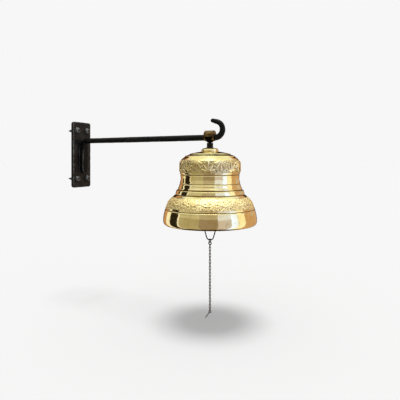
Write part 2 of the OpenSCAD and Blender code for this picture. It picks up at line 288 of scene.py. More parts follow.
@dataclass(frozen=True)
class Turning:
    """A solid turned about its own Z axis, with flats or a thread where wanted.

    Attributes:
        outline: (radius, height) or (radius, height, flatness) in metres; flatness 1 makes the
            row a polygon whose flats lie at that radius.
        columns: Points round each row.
        sides: Number of flats.
        thread: Thread cut into the outside, if any.
        ring: Whether the outline is a closed loop round a hole.
    """

    outline: Sequence[Sequence[float]]
    columns: int = 64
    sides: int = 6
    thread: Thread | None = None
    ring: bool = False

    def lattice(self) -> Lattice:
        """The turned skin, with its worn edges marked where the outline turns sharply."""
        rows = np.array([(*p, 0.0)[:3] for p in self.outline], float)
        turn = np.arange(self.columns) / self.columns
        angle = turn * 2.0 * math.pi
        sector = 2.0 * math.pi / self.sides
        off_flat = (angle + sector / 2) % sector - sector / 2
        polygon = 1.0 / np.cos(off_flat)
        radius = rows[:, 0:1] * (1.0 + rows[:, 2:3] * (polygon[None, :] - 1.0))
        height = np.repeat(rows[:, 1:2], self.columns, axis=1)
        if self.thread:
            radius = radius - self.thread.cut(height, turn[None, :])
        points = np.stack([radius * np.cos(angle), radius * np.sin(angle), height], axis=-1)
        return Lattice(
            points,
            wrap_rows=self.ring,
            cap_start=not self.ring,
            cap_end=not self.ring,
            marks={"edge": np.repeat(self._corners(rows)[:, None], self.columns, axis=1)},
        )

    def _corners(self, rows: np.ndarray) -> np.ndarray:
        """How sharply the outline turns at each row, from 0 to 1."""
        if self.ring:
            step_in = rows[:, :2] - np.roll(rows[:, :2], 1, axis=0)
            step_out = np.roll(rows[:, :2], -1, axis=0) - rows[:, :2]
        else:
            step_in = np.diff(rows[:, :2], axis=0, prepend=rows[:1, :2])
            step_out = np.diff(rows[:, :2], axis=0, append=rows[-1:, :2])
        cross = step_in[:, 0] * step_out[:, 1] - step_in[:, 1] * step_out[:, 0]
        size = np.linalg.norm(step_in, axis=1) * np.linalg.norm(step_out, axis=1) + 1e-12
        return np.clip(np.abs(cross) / size, 0.0, 1.0)


def rounded_outline(corners: Sequence[Sequence[float]], radius: float, steps: int = 4) -> list:
    """An open outline whose inner corners are rounded.

    Args:
        corners: Points of the outline; extra values such as flatness are carried along.
        radius: Radius that the rounding aims for; short edges get less.
        steps: Points that each rounding adds.

    Returns:
        The outline with its corners rounded.
    """
    pts = [np.array(p, float) for p in corners]
    result = [pts[0]]
    for before, here, after in zip(pts, pts[1:], pts[2:]):
        to_before, to_after = before - here, after - here
        reach_a = min(radius, np.linalg.norm(to_before[:2]) * 0.45)
        reach_b = min(radius, np.linalg.norm(to_after[:2]) * 0.45)
        start = here + to_before * reach_a / (np.linalg.norm(to_before[:2]) + 1e-12)
        end = here + to_after * reach_b / (np.linalg.norm(to_after[:2]) + 1e-12)
        for i in range(steps + 1):
            t = i / steps
            result.append(start * (1 - t) ** 2 + here * 2 * t * (1 - t) + end * t**2)
    result.append(pts[-1])
    return result


def sweep(
    path: np.ndarray,
    sizes: np.ndarray,
    columns: int = 16,
    power: np.ndarray | float = 2.0,
    side: np.ndarray = Y_AXIS,
    closed: bool = False,
) -> Lattice:
    """A bar or wire along a path that lies in one plane.

    Args:
        path: Points of the middle line, shape (n, 3).
        sizes: Half thickness in the path's plane and half width across it, shape (n, 2).
        columns: Points round each section.
        power: 2 for a round section, more for a squarer one, for each row or for all.
        side: Unit vector across the path's plane.
        closed: Whether the path is a loop.

    Returns:
        The skin of the bar, capped at both ends unless it is a loop.
    """
    if closed:
        tangent = np.roll(path, -1, axis=0) - np.roll(path, 1, axis=0)
    else:
        tangent = np.gradient(path, axis=0)
    tangent /= np.linalg.norm(tangent, axis=1, keepdims=True) + 1e-12
    normal = np.cross(side[None, :], tangent)
    angle = np.arange(columns) / columns * 2.0 * math.pi
    exponent = 2.0 / np.broadcast_to(np.asarray(power, float), (len(path),))[:, None]
    cos, sin = np.cos(angle)[None, :], np.sin(angle)[None, :]
    across = np.sign(cos) * np.abs(cos) ** exponent
    along = np.sign(sin) * np.abs(sin) ** exponent
    points = (
        path[:, None, :]
        + normal[:, None, :] * (across * sizes[:, 0:1])[:, :, None]
        + side[None, None, :] * (along * sizes[:, 1:2])[:, :, None]
    )
    square = np.broadcast_to(2.0 / exponent - 2.0, across.shape)
    edge = np.clip(square, 0.0, 2.0) / 2.0 * (np.abs(across * along) > 0.72)
    return Lattice(
        points,
        wrap_rows=closed,
        cap_start=not closed,
        cap_end=not closed,
        marks={"edge": edge.astype(float)},
    )


@dataclass
class PlanePath:
    """A path in the XZ plane, laid out as straights and arcs from a pen that has a heading.

    Attributes:
        x: Where the pen is.
        z: Height of the pen.
        heading: Its direction in degrees, from +X towards +Z.
        step: Distance between points.
        arc_step: Degrees between points on an arc.
    """

    x: float
    z: float
    heading: float
    step: float = 1.0 * MM
    arc_step: float = 6.0
    spots: list[tuple[float, float]] = field(default_factory=list)

    def __post_init__(self) -> None:
        """Puts the first point down."""
        self.spots.append((self.x, self.z))

    def straight(self, length: float) -> "PlanePath":
        """Goes straight on by a length."""
        count = max(1, round(length / self.step))
        dx = math.cos(math.radians(self.heading)) * length / count
        dz = math.sin(math.radians(self.heading)) * length / count
        for _ in range(count):
            self.x += dx
            self.z += dz
            self.spots.append((self.x, self.z))
        return self

    def arc(self, radius: float, turn: float) -> "PlanePath":
        """Turns by an angle in degrees, to the left where it is positive, on an arc of a radius."""
        count = max(2, round(abs(turn) / self.arc_step))
        side = math.copysign(1.0, turn)
        start = math.radians(self.heading)
        centre_x = self.x - side * radius * math.sin(start)
        centre_z = self.z + side * radius * math.cos(start)
        for i in range(1, count + 1):
            a = math.radians(self.heading + turn * i / count)
            self.spots.append(
                (centre_x + side * radius * math.sin(a), centre_z - side * radius * math.cos(a))
            )
        self.x, self.z = self.spots[-1]
        self.heading += turn
        return self

    def points(self) -> np.ndarray:
        """The path as points in space, with Y at zero."""
        flat = np.array(self.spots)
        return np.stack([flat[:, 0], np.zeros(len(flat)), flat[:, 1]], axis=1)


def turned_about_z(points: np.ndarray, axis_x: float) -> np.ndarray:
    """A path in the XZ plane, turned a quarter turn about the vertical line through axis_x."""
    result = points.copy()
    result[:, 0] = axis_x
    result[:, 1] = points[:, 0] - axis_x
    return result


def run_along(path: np.ndarray) -> np.ndarray:
    """Distance along a path to each of its points."""
    return np.concatenate([[0.0], np.cumsum(np.linalg.norm(np.diff(path, axis=0), axis=1))])


def round_ends(path: np.ndarray, size: np.ndarray, ends: tuple[bool, bool]) -> np.ndarray:
    """Sizes of a bar with round ends.

    Args:
        path: Points of the middle line.
        size: Half sizes along it, shape (n, 2).
        ends: Whether the start and the end are rounded.

    Returns:
        Half sizes that shrink to a dome at the rounded ends.
    """
    run = run_along(path)
    result = size.copy()
    for wanted, reach, at in ((ends[0], run, size[0]), (ends[1], run[-1] - run, size[-1])):
        if wanted:
            dome = float(at.min())
            t = np.clip(1.0 - reach / dome, 0.0, 1.0)
            result *= np.sqrt(np.clip(1.0 - t**2, 0.0004, 1.0))[:, None]
    return result


def with_dome_rows(path: np.ndarray, dome: float, rows: int = 6) -> np.ndarray:
    """The path with extra points near both ends, close enough together to draw a dome."""
    run = run_along(path)
    near = dome * (1.0 - np.cos(np.linspace(0.0, math.pi / 2, rows)))
    middle = run[(run > dome) & (run < run[-1] - dome)]
    wanted = np.concatenate([near, middle, (run[-1] - near)[::-1]])
    return np.stack([np.interp(wanted, run, path[:, k]) for k in range(3)], axis=1)


# ---------------------------------------------------------------------------
# Finishes
# ---------------------------------------------------------------------------

Colour = tuple[float, float, float]


class NodeSheet:
    """Writes one node material: a principled shader and the textures that feed it."""

    def __init__(self, name: str, metallic: float) -> None:
        """Starts the material.

        Args:
            name: Name of the material.
            metallic: Value of the shader's metallic socket.
        """
        self.material = bpy.data.materials.new(name)
        self.material.use_nodes = True
        self.tree = self.material.node_tree
        self.tree.nodes.clear()
        output = self.tree.nodes.new("ShaderNodeOutputMaterial")
        self.shader = self.tree.nodes.new("ShaderNodeBsdfPrincipled")
        self.shader.inputs["Metallic"].default_value = metallic
        self.tree.links.new(self.shader.outputs["BSDF"], output.inputs["Surface"])
        self.place = self.tree.nodes.new("ShaderNodeTexCoord").outputs["Object"]

    def _feed(self, socket: bpy.types.NodeSocket, value: Any) -> None:
        """Links a socket, or sets its value."""
        if isinstance(value, bpy.types.NodeSocket):
            self.tree.links.new(value, socket)
        elif isinstance(value, tuple) and len(value) == 3 and socket.type == "RGBA":
            socket.default_value = (*value, 1.0)
        else:
            socket.default_value = value

    def stretched(self, stretch: Colour) -> bpy.types.NodeSocket:
        """Object coordinates scaled by a factor along each axis."""
        mapping = self.tree.nodes.new("ShaderNodeMapping")
        mapping.inputs["Scale"].default_value = stretch
        self.tree.links.new(self.place, mapping.inputs["Vector"])
        return mapping.outputs["Vector"]

    def noise(
        self, size: float, detail: float = 3.0, stretch: Colour = (1.0, 1.0, 1.0)
    ) -> bpy.types.NodeSocket:
        """Noise from 0 to 1 whose patches are about size across."""
        node = self.tree.nodes.new("ShaderNodeTexNoise")
        node.inputs["Scale"].default_value = 1.0 / size
        node.inputs["Detail"].default_value = detail
        self.tree.links.new(self.stretched(stretch), node.inputs["Vector"])
        return node.outputs["Fac"]

    def cells(self, size: float) -> bpy.types.NodeSocket:
        """Soft round dents, about size across."""
        node = self.tree.nodes.new("ShaderNodeTexVoronoi")
        node.feature = "SMOOTH_F1"
        node.inputs["Scale"].default_value = 1.0 / size
        node.inputs["Smoothness"].default_value = 0.6
        self.tree.links.new(self.place, node.inputs["Vector"])
        return node.outputs["Distance"]

    def mark(self, name: str) -> bpy.types.NodeSocket:
        """A point attribute that the mesh carries."""
        node = self.tree.nodes.new("ShaderNodeAttribute")
        node.attribute_name = name
        return node.outputs["Fac"]

    def ramp(
        self, value: Any, low: float, high: float, to_low: float = 0.0, to_high: float = 1.0
    ) -> bpy.types.NodeSocket:
        """Value from low to high, spread from to_low to to_high and held there beyond."""
        node = self.tree.nodes.new("ShaderNodeMapRange")
        node.interpolation_type = "SMOOTHSTEP"
        for key, number in zip(
            ("Value", "From Min", "From Max", "To Min", "To Max"),
            (value, low, high, to_low, to_high),
        ):
            self._feed(node.inputs[key], number)
        return node.outputs["Result"]

    def maths(self, operation: str, a: Any, b: Any) -> bpy.types.NodeSocket:
        """A maths node of two inputs."""
        node = self.tree.nodes.new("ShaderNodeMath")
        node.operation = operation
        self._feed(node.inputs[0], a)
        self._feed(node.inputs[1], b)
        return node.outputs["Value"]

    def blend(self, factor: Any, a: Any, b: Any) -> bpy.types.NodeSocket:
        """A colour between a and b."""
        node = self.tree.nodes.new("ShaderNodeMix")
        node.data_type = "RGBA"
        self._feed(node.inputs["Factor"], factor)
        colour_a, colour_b = (socket for socket in node.inputs if socket.type == "RGBA")
        self._feed(colour_a, a)
        self._feed(colour_b, b)
        return next(socket for socket in node.outputs if socket.type == "RGBA")

    def relief(self, layers: Sequence[tuple[Any, float]]) -> None:
        """Feeds the shader's normal with layers of (height, depth in metres)."""
        normal = None
        for height, depth in layers:
            node = self.tree.nodes.new("ShaderNodeBump")
            node.inputs["Distance"].default_value = depth
            self.tree.links.new(height, node.inputs["Height"])
            if normal is not None:
                self.tree.links.new(normal, node.inputs["Normal"])
            normal = node.outputs["Normal"]
        self.tree.links.new(normal, self.shader.inputs["Normal"])

    def dress(self, colour: Any, roughness: Any) -> bpy.types.Material:
        """Feeds colour and roughness, and gives the finished material."""
        self._feed(self.shader.inputs["Base Color"], colour)
        self._feed(self.shader.inputs["Roughness"], roughness)
        return self.material


@dataclass(frozen=True)
class CastBrass:
    """Polished cast brass: bright on its skin, tarnished in its hollows, with turning lines.

    Attributes:
        name: Name of the material.
        bright: Colour of the polished skin.
        deep: Colour of its slightly darker patches.
        tarnish: Colour in the hollows.
        tarnish_share: How much of the tarnish shows in a full hollow.
        polish: Roughness of the skin.
        dull: Roughness in the hollows.
        matt: Roughness of the punched grounds.
        speck_share: How much tarnish shows in the specks of the punched grounds.
        punch_depth: Depth of the fine punching, over that of the mesh.
        line_depth: Depth of the turning lines.
    """

    name: str
    bright: Colour = (0.94, 0.79, 0.42)
    deep: Colour = (0.86, 0.68, 0.30)
    tarnish: Colour = (0.075, 0.042, 0.014)
    tarnish_share: float = 0.92
    polish: float = 0.06
    dull: float = 0.38
    matt: float = 0.56
    speck_share: float = 0.80
    punch_depth: float = 0.55 * MM
    line_depth: float = 0.010 * MM

    def material(self) -> bpy.types.Material:
        """Builds the node material."""
        sheet = NodeSheet(self.name, metallic=1.0)
        patches = sheet.ramp(sheet.noise(26 * MM, 4.0), 0.38, 0.66)
        skin = sheet.blend(patches, self.bright, self.deep)
        smears = sheet.ramp(sheet.noise(7 * MM, 5.0), 0.50, 0.78, 0.0, 0.22)
        hollow = sheet.ramp(sheet.mark("cavity"), 0.12, 0.85, 0.0, self.tarnish_share)
        cover = sheet.maths("MAXIMUM", smears, hollow)
        worn = sheet.maths("MULTIPLY", sheet.mark("edge"), 0.8)
        punched = sheet.mark("punched")
        specks = sheet.ramp(sheet.noise(1.7 * MM, 1.5), 0.54, 0.61, 0.0, self.speck_share)
        cover = sheet.maths("MAXIMUM", cover, sheet.maths("MULTIPLY", specks, punched))
        cover = sheet.maths("MULTIPLY", cover, sheet.maths("SUBTRACT", 1.0, worn))
        colour = sheet.blend(cover, skin, self.tarnish)
        grain = sheet.noise(1.1 * MM, 2.0, (1.0, 1.0, 9.0))
        roughness = sheet.maths(
            "ADD",
            sheet.ramp(cover, 0.0, 0.8, self.polish, self.dull),
            sheet.ramp(grain, 0.35, 0.75, 0.0, 0.05),
        )
        matt = sheet.maths("MULTIPLY", punched, self.matt)
        roughness = sheet.maths("MAXIMUM", roughness, matt)
        lines = sheet.noise(0.55 * MM, 2.0, (0.03, 0.03, 1.0))
        waves = sheet.noise(17 * MM, 2.0)
        punches = sheet.maths("MULTIPLY", sheet.noise(1.7 * MM, 2.0), punched)
        sheet.relief([(waves, 0.10 * MM), (lines, self.line_depth), (punches, self.punch_depth)])
        return sheet.dress(colour, roughness)


@dataclass(frozen=True)
class Patina:
    """Old brass with a brown patina that is rubbed through on edges and high spots."""

    name: str
    metal: Colour
    patina: Colour
    cover: float = 0.55
    patch: float = 5 * MM
    shine: float = 0.28
    dull: float = 0.55
    # Near-black colour of the painted shade, for parts that lie in shadow.
    soot: Colour = (0.006, 0.005, 0.004)

    def material(self) -> bpy.types.Material:
        """Builds the node material."""
        sheet = NodeSheet(self.name, metallic=1.0)
        clouds = sheet.ramp(sheet.noise(self.patch, 5.0), 0.32, 0.72, 0.0, 1.0)
        specks = sheet.ramp(sheet.noise(0.9 * MM, 3.0), 0.45, 0.70, 0.0, 0.35)
        cover = sheet.maths("ADD", sheet.maths("MULTIPLY", clouds, self.cover), specks)
        cover = sheet.maths("ADD", cover, sheet.ramp(sheet.mark("cavity"), 0.1, 0.9, 0.0, 0.6))
        rubbed = sheet.ramp(sheet.mark("edge"), 0.1, 0.8, 0.0, 0.75)
        cover = sheet.ramp(sheet.maths("SUBTRACT", cover, rubbed), 0.0, 1.0)
        colour = sheet.blend(cover, self.metal, self.patina)
        # Painted shade: the shade mark blends the colour to near black and makes the surface matt, for
        # parts that lie in shadow.
        soot = sheet.mark("soot")
        colour = sheet.blend(soot, colour, self.soot)
        roughness = sheet.ramp(cover, 0.0, 1.0, self.shine, self.dull)
        sheet.relief([(sheet.noise(1.6 * MM, 4.0), 0.05 * MM)])
        return sheet.dress(colour, sheet.maths("MAXIMUM", roughness, soot))


@dataclass(frozen=True)
class ForgedPaint:
    """Black paint over hammered iron, worn through to metal on the edges."""

    name: str
    paint: Colour = (0.005, 0.005, 0.0055)
    dust: Colour = (0.020, 0.020, 0.019)
    worn: Colour = (0.26, 0.25, 0.23)
    wear: float = 0.75
    dent: float = 7 * MM
    dent_depth: float = 0.35 * MM
    gloss: float = 0.30
    flat: float = 0.50
    gleam: float = 0.22

    def material(self) -> bpy.types.Material:
        """Builds the node material."""
        sheet = NodeSheet(self.name, metallic=0.0)
        film = sheet.ramp(sheet.noise(14 * MM, 5.0), 0.42, 0.75)
        skin = sheet.blend(film, self.paint, self.dust)
        chips = sheet.ramp(sheet.noise(1.8 * MM, 4.0), 0.40, 0.62)
        bare = sheet.maths("MULTIPLY", sheet.ramp(sheet.mark("edge"), 0.25, 0.9), chips)
        bare = sheet.maths("MULTIPLY", bare, self.wear)
        colour = sheet.blend(bare, skin, self.worn)
        self_rough = sheet.ramp(sheet.noise(3.5 * MM, 4.0), 0.30, 0.70, self.gloss, self.flat)
        sheet.relief(
            [
                (sheet.cells(self.dent), self.dent_depth),
                (sheet.noise(0.8 * MM, 3.0), 0.03 * MM),
            ]
        )
        sheet.shader.inputs["Specular IOR Level"].default_value = self.gleam
        return sheet.dress(colour, self_rough)


@dataclass(frozen=True)
class Finishes:
    """Every finish of the bell, made once and shared by its pieces."""

    polished: bpy.types.Material
    aged: bpy.types.Material
    chain: bpy.types.Material
    iron: bpy.types.Material
    bar: bpy.types.Material
    screws: bpy.types.Material
    wire: bpy.types.Material
    clapper: bpy.types.Material

    @classmethod
    def mixed(cls) -> "Finishes":
        """Makes the materials."""
        return cls(
            polished=CastBrass("cast_brass_polished").material(),
            aged=Patina(
                "brass_browned", (0.20, 0.125, 0.045), (0.040, 0.024, 0.010), 0.75
            ).material(),
            chain=Patina(
                "brass_antique", (0.060, 0.036, 0.016), (0.010, 0.007, 0.004), 0.65, 2.5 * MM
            ).material(),
            iron=ForgedPaint("iron_hammered_black").material(),
            # A darker copy of the plate's black paint, for the bar, stem and crown nut: its darker paint
            # and dust are painted shade, standing in for the darker reflections that a round bar shows.
            bar=ForgedPaint(
                "iron_forged_bar", paint=(0.002, 0.002, 0.002), dust=(0.007, 0.007, 0.007),
                wear=0.35, gleam=0.12,
            ).material(),
            screws=ForgedPaint(
                "screw_black", wear=0.45, dent=2.2 * MM, dent_depth=0.06 * MM, gloss=0.20,
                gleam=1.0,
            ).material(),
            wire=ForgedPaint(
                "wire_black", wear=0.10, dent=1.5 * MM, dent_depth=0.04 * MM, gleam=0.08
            ).material(),
            clapper=ForgedPaint(
                "clapper_cast_iron",
                paint=(0.028, 0.020, 0.014),
                dust=(0.085, 0.058, 0.036),
                worn=(0.36, 0.29, 0.20),
                dent=3.0 * MM,
                dent_depth=0.18 * MM,
                gloss=0.38,
                flat=0.62,
            ).material(),
        )


# ---------------------------------------------------------------------------
# Sub-assemblies
# ---------------------------------------------------------------------------


@dataclass(frozen=True)
class Datum:
    """Lines of the CAD part that the sub-assemblies are built on.

    Attributes:
        bell_x: Distance from the wall to the bell's axis.
        arm_z: Height of the arm's axis.
        pivots: Position of each hinge, by joint name.
    """

    bell_x: float
    arm_z: float
    pivots: dict[str, tuple[float, float, float]]

    @classmethod
    def of(cls, frame: dict[str, Any]) -> "Datum":
        """Reads the datum lines from the loaded frame."""
        pivots = {j["name"]: tuple(j["pos_m"]) for j in frame["joints"] if "pos_m" in j}
        swing = pivots["bell_swing"]
        return cls(bell_x=swing[0], arm_z=swing[2], pivots=pivots)

    @property
    def axis_foot(self) -> tuple[float, float, float]:
        """The point of the bell's axis at zero height, where turned pieces are put."""
        return (self.bell_x, 0.0, 0.0)


def fit_out(piece: bpy.types.Object, body: str, slot: Slot, *nodes: str) -> bpy.types.Object:
    """Rides a piece on a body and hides the CAD nodes that it stands for."""
    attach(piece, body)
    if nodes:
        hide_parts(*nodes)
    LOG.info("%s rides on %s and stands for %s", piece.name, body, ", ".join(nodes) or "no node")
    return piece


@dataclass
class Bracket:
    """The wall plate, its screws, and the forged bar that is foot, arm and hook."""

    datum: Datum
    finishes: Finishes
    body: str = "bracket"
    plate_corner: float = 4.5 * MM
    plate_arris: float = 0.9 * MM
    hammer_dent: float = 0.22 * MM
    voxel: float = 0.62 * MM
    foot_thick: float = 8 * MM
    foot_wide: float = 16 * MM
    arm_r: float = 5 * MM
    bend_r: float = 5.5 * MM
    hook_start: float = 9.5 * MM
    hook_r: float = 12.7 * MM
    hook_turn: float = 164.0
    tail: float = 12 * MM
    tail_r: float = 3 * MM
    weld_r: float = 1.7 * MM
    screw_r: float = 2.5 * MM
    head_r: float = 6.3 * MM
    head_h: float = 4.6 * MM
    socket_flat: float = 2.25 * MM

    def build(self) -> None:
        """Builds and dresses every piece of the bracket."""
        self.plate_low, self.plate_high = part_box("back_plate")
        self.screw_low, self.screw_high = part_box("wall_screws")
        self.plate()
        self.bar()
        self.weld()
        self.screws()

    def plate(self) -> None:
        """The forged plate: a slab with rounded corners and four holes, dented by the hammer."""
        low, high = self.plate_low, self.plate_high
        corner = self.plate_corner
        outline = []
        for y_side, z_side, start in ((1, 1, 0), (-1, 1, 90), (-1, -1, 180), (1, -1, 270)):
            centre_y = (high.y if y_side > 0 else low.y) - y_side * corner
            centre_z = (high.z if z_side > 0 else low.z) - z_side * corner
            for i in range(9):
                a = math.radians(start + 90 * i / 8)
                outline.append((centre_y + corner * math.cos(a), centre_z + corner * math.sin(a)))
        rim = self.plate_arris
        middle = np.array([(low.y + high.y) / 2, (low.z + high.z) / 2])
        shrink = 1.0 - rim / ((high.y - low.y) / 2), 1.0 - rim / ((high.z - low.z) / 2)
        rows = []
        for x, inset in ((low.x, 1), (low.x + rim, 0), (high.x - rim, 0), (high.x, 1)):
            ring = (np.array(outline) - middle) * (shrink if inset else (1.0, 1.0)) + middle
            rows.append(np.column_stack([np.full(len(ring), x), ring]))
        slab = build_object(
            "back_plate_forged",
            [Lattice(np.array(rows), cap_start=True, cap_end=True)],
            self.finishes.iron,
        )
        for centre in self.screw_places():
            hole = Turning([(self.screw_r + 0.3 * MM, -5 * MM), (self.screw_r + 0.3 * MM, 15 * MM)])
            cut_away(slab, hole.lattice().moved((0.0, *centre), X_AXIS))
        remesh(slab, self.voxel)
        points = mesh_points(slab)
        dents = value_noise(points, 6.5 * MM, 3) + 0.5 * value_noise(points, 2.6 * MM, 4)
        normals = mesh_normals(slab)
        front = smooth_step(low.x + 0.8 * MM, high.x - 1.2 * MM, points[:, 0])
        points += normals * (dents * self.hammer_dent * front - 0.1 * MM)[:, None]
        points[:, 0] = np.maximum(points[:, 0], low.x)
        set_mesh_points(slab, points)
        add_mark(slab, "edge", self.plate_edge(points))
        add_mark(slab, "cavity", np.zeros(len(points)))
        fit_out(slab, self.body, Slot.BLACK_IRON, "back_plate")

    def plate_edge(self, points: np.ndarray) -> np.ndarray:
        """How close each point of the plate is to its front arris, from 0 to 1."""
        low, high = self.plate_low, self.plate_high
        in_y = np.minimum(points[:, 1] - low.y, high.y - points[:, 1])
        in_z = np.minimum(points[:, 2] - low.z, high.z - points[:, 2])
        in_rim = np.maximum(np.minimum(in_y, in_z), 0.0)
        reach = np.hypot(np.maximum(high.x - points[:, 0], 0.0), in_rim)
        return np.exp(-((reach / (1.3 * MM)) ** 2))

    def screw_places(self) -> list[tuple[float, float]]:
        """(y, z) of the four screws."""
        low, high, r = self.screw_low, self.screw_high, self.head_r
        return [(y, z) for y in (low.y + r, high.y - r) for z in (low.z + r, high.z - r)]

    def bar(self) -> None:
        """Foot, bend, arm, curl and tail, swept as one bar whose section changes on the way."""
        front = self.plate_high.x
        foot_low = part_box("bracket_arm")[0].z
        lean = 1.05
        bend_turn = 90.0 - lean
        rise = self.datum.arm_z - foot_low - self.bend_r
        pen = PlanePath(front + self.foot_thick / 2, foot_low, bend_turn)
        pen.straight(rise).arc(self.bend_r, -bend_turn)
        pen.straight(self.datum.bell_x + self.hook_start - pen.x)
        pen.arc_step = 4.0
        pen.arc(self.hook_r, self.hook_turn).straight(self.tail)
        path = pen.points()
        path[:, 2] += (self.datum.arm_z - pen_height(path, 0.1)) * smooth_step(
            foot_low, self.datum.arm_z - self.bend_r, path[:, 2]
        )
        path = with_dome_rows(path, self.tail_r)
        run = run_along(path)
        from_end = run[-1] - run
        wide_stops = [0, 34 * MM, 49 * MM, 62 * MM, 160 * MM]
        wide = np.interp(run, wide_stops, [8 * MM, 8 * MM, 5.4 * MM, 4.85 * MM, self.arm_r])
        thick_stops = [0, 40 * MM, 56 * MM, 160 * MM]
        thick = np.interp(run, thick_stops, [4 * MM, 4 * MM, 4.85 * MM, self.arm_r])
        curl = self.hook_r * math.radians(self.hook_turn)
        taper = np.interp(from_end, [0, self.tail, self.tail + curl], [0.60, 0.84, 1.0])
        short_of_foot = np.clip(1 - run / (self.foot_wide / 2), 0, 1)
        round_foot = np.sqrt(np.clip(1 - short_of_foot**2, 0.02, 1))
        sizes = np.stack([thick * taper, wide * taper * round_foot], axis=1)
        sizes = round_ends(path, sizes, (False, True))
        power = np.interp(run, [0, 40 * MM, 58 * MM], [6.0, 5.0, 2.0])
        skin = sweep(path, sizes, 48, power)
        flat = skin.points.reshape(-1, 3)
        dents = value_noise(flat, 7 * MM, 11) * 0.13 * MM
        dents = dents + value_noise(flat, 2.2 * MM, 12) * 0.04 * MM
        centre = np.repeat(path, 48, axis=0)
        outward = flat - centre
        outward /= np.linalg.norm(outward, axis=1, keepdims=True) + 1e-9
        free = (flat[:, 0] > front + 1.0 * MM).astype(float)
        flat = flat + outward * ((dents - 0.12 * MM) * free)[:, None]
        flat[:, 0] = np.maximum(flat[:, 0], front - 0.2 * MM)
        skin.points = flat.reshape(skin.points.shape)
        tip = np.exp(-((from_end / (4 * MM)) ** 2))[:, None]
        skin.marks["edge"] = np.maximum(skin.marks["edge"], 0.5 * tip)
        bar = build_object("bracket_arm_forged", [skin], self.finishes.bar, 50.0)
        fit_out(bar, self.body, Slot.BLACK_IRON, "bracket_arm")

    def weld(self) -> None:
        """The bead of weld round the foot, with the ripples of its run."""
        low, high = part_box("foot_weld")
        half = self.foot_wide / 2
        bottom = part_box("bracket_arm")[0].z
        pts = [(half, high.z - 1 * MM), (half, bottom + half)]
        for i in range(1, 18):
            a = math.radians(180.0 * i / 18)
            pts.append((half * math.cos(a), bottom + half - half * math.sin(a)))
        pts += [(-half, bottom + half), (-half, high.z - 1 * MM)]
        yz = resample(np.array(pts), 0.45 * MM)
        path = np.column_stack([np.full(len(yz), low.x + 0.1 * MM), yz])
        ripple = 1.0 + 0.13 * np.sin(np.arange(len(path)) * 1.35) + 0.1 * value_noise(path, 3 * MM, 8)
        sizes = np.stack([ripple, ripple], axis=1) * self.weld_r * 0.85
        skin = sweep(path, round_ends(path, sizes, (True, True)), 12, side=X_AXIS)
        bead = build_object("foot_weld_bead", [skin], self.finishes.iron, 60.0)
        fit_out(bead, self.body, Slot.BLACK_IRON, "foot_weld")

    def screws(self) -> None:
        """Four domed wall screws with a hexagon socket and a cut thread."""
        front, tip = self.plate_high.x, self.screw_low.x
        rim = 0.9 * MM
        dome_h = self.head_h - rim
        dome_r = (self.head_r**2 + dome_h**2) / (2 * dome_h)
        point = 7 * MM
        outline = [(0.15 * MM, tip)]
        outline += [(self.screw_r * (0.12 + 0.88 * t), tip + point * t) for t in np.linspace(0.05, 1, 28)]
        outline += [(self.screw_r, z) for z in np.linspace(tip + point, -1 * MM, 90)[1:]]
        outline += [(self.screw_r, front), (self.head_r - 0.5 * MM, front + 0.02 * MM)]
        outline += [(self.head_r - 0.1 * MM, front + 0.25 * MM), (self.head_r, front + 0.5 * MM)]
        lip = 3.0 * MM
        for t in np.linspace(0, 1, 14):
            r = self.head_r + (lip - self.head_r) * t
            z = front + self.head_h - dome_r + math.sqrt(dome_r**2 - r**2)
            outline.append((r, z))
        top = outline[-1][1]
        floor = front + self.head_h - 2.4 * MM
        outline += [(2.72 * MM, top - 0.02 * MM), (2.5 * MM, top - 0.25 * MM, 0.6)]
        outline += [(self.socket_flat, top - 0.45 * MM, 1.0), (self.socket_flat, floor, 1.0)]
        outline += [(0.1 * MM, floor - 0.3 * MM)]
        thread = Thread(2.0 * MM, 0.5 * MM, tip + 0.5 * MM, -1 * MM)
        lattices = []
        for turn, centre in enumerate(self.screw_places()):
            skin = Turning(outline, columns=60, thread=thread).lattice()
            skin.points = spun(skin.points, 17.0 + 31.0 * turn)
            radius = np.hypot(skin.points[:, :, 0], skin.points[:, :, 1])
            inside = (skin.points[:, :, 2] > floor - 1 * MM) & (radius < 2.3 * MM)
            skin.marks["cavity"] = inside.astype(float)
            # The dome's top is marked as worn edge, so pale metal shows there: partly real wear of the
            # paint, partly a painted highlight where the head catches the light.
            crown = skin.points[:, :, 2] - front - 2.2 * MM
            skin.marks["edge"] = smooth_step(0.0, 1.6 * MM, crown) * (radius > 2.3 * MM)
            lattices.append(skin.moved((0.0, *centre), X_AXIS))
        screws = build_object("wall_screws_domed", lattices, self.finishes.screws, 35.0)
        fit_out(screws, self.body, Slot.BLACK_SCREWS, "wall_screws")


def pen_height(path: np.ndarray, at_x: float) -> float:
    """Height of a path where it runs along X at a distance from the wall."""
    along = np.argmin(np.abs(path[:, 0] - at_x) + np.abs(path[:, 2] - path[:, 2].mean()) * 0.01)
    return float(path[along, 2])


def spun(points: np.ndarray, degrees: float) -> np.ndarray:
    """Points turned about their own Z axis."""
    a = math.radians(degrees)
    turn = np.array([[math.cos(a), math.sin(a), 0], [-math.sin(a), math.cos(a), 0], [0, 0, 1]])
    return points @ turn


def resample(points: np.ndarray, step: float) -> np.ndarray:
    """A polyline with points every step along it."""
    run = run_along(points)
    wanted = np.linspace(0.0, run[-1], max(2, int(run[-1] / step) + 1))
    return np.stack([np.interp(wanted, run, points[:, k]) for k in range(points.shape[1])], axis=1)


def mesh_points(piece: bpy.types.Object) -> np.ndarray:
    """The vertices of a mesh object, shape (n, 3)."""
    flat = np.zeros(len(piece.data.vertices) * 3)
    piece.data.vertices.foreach_get("co", flat)
    return flat.reshape(-1, 3)


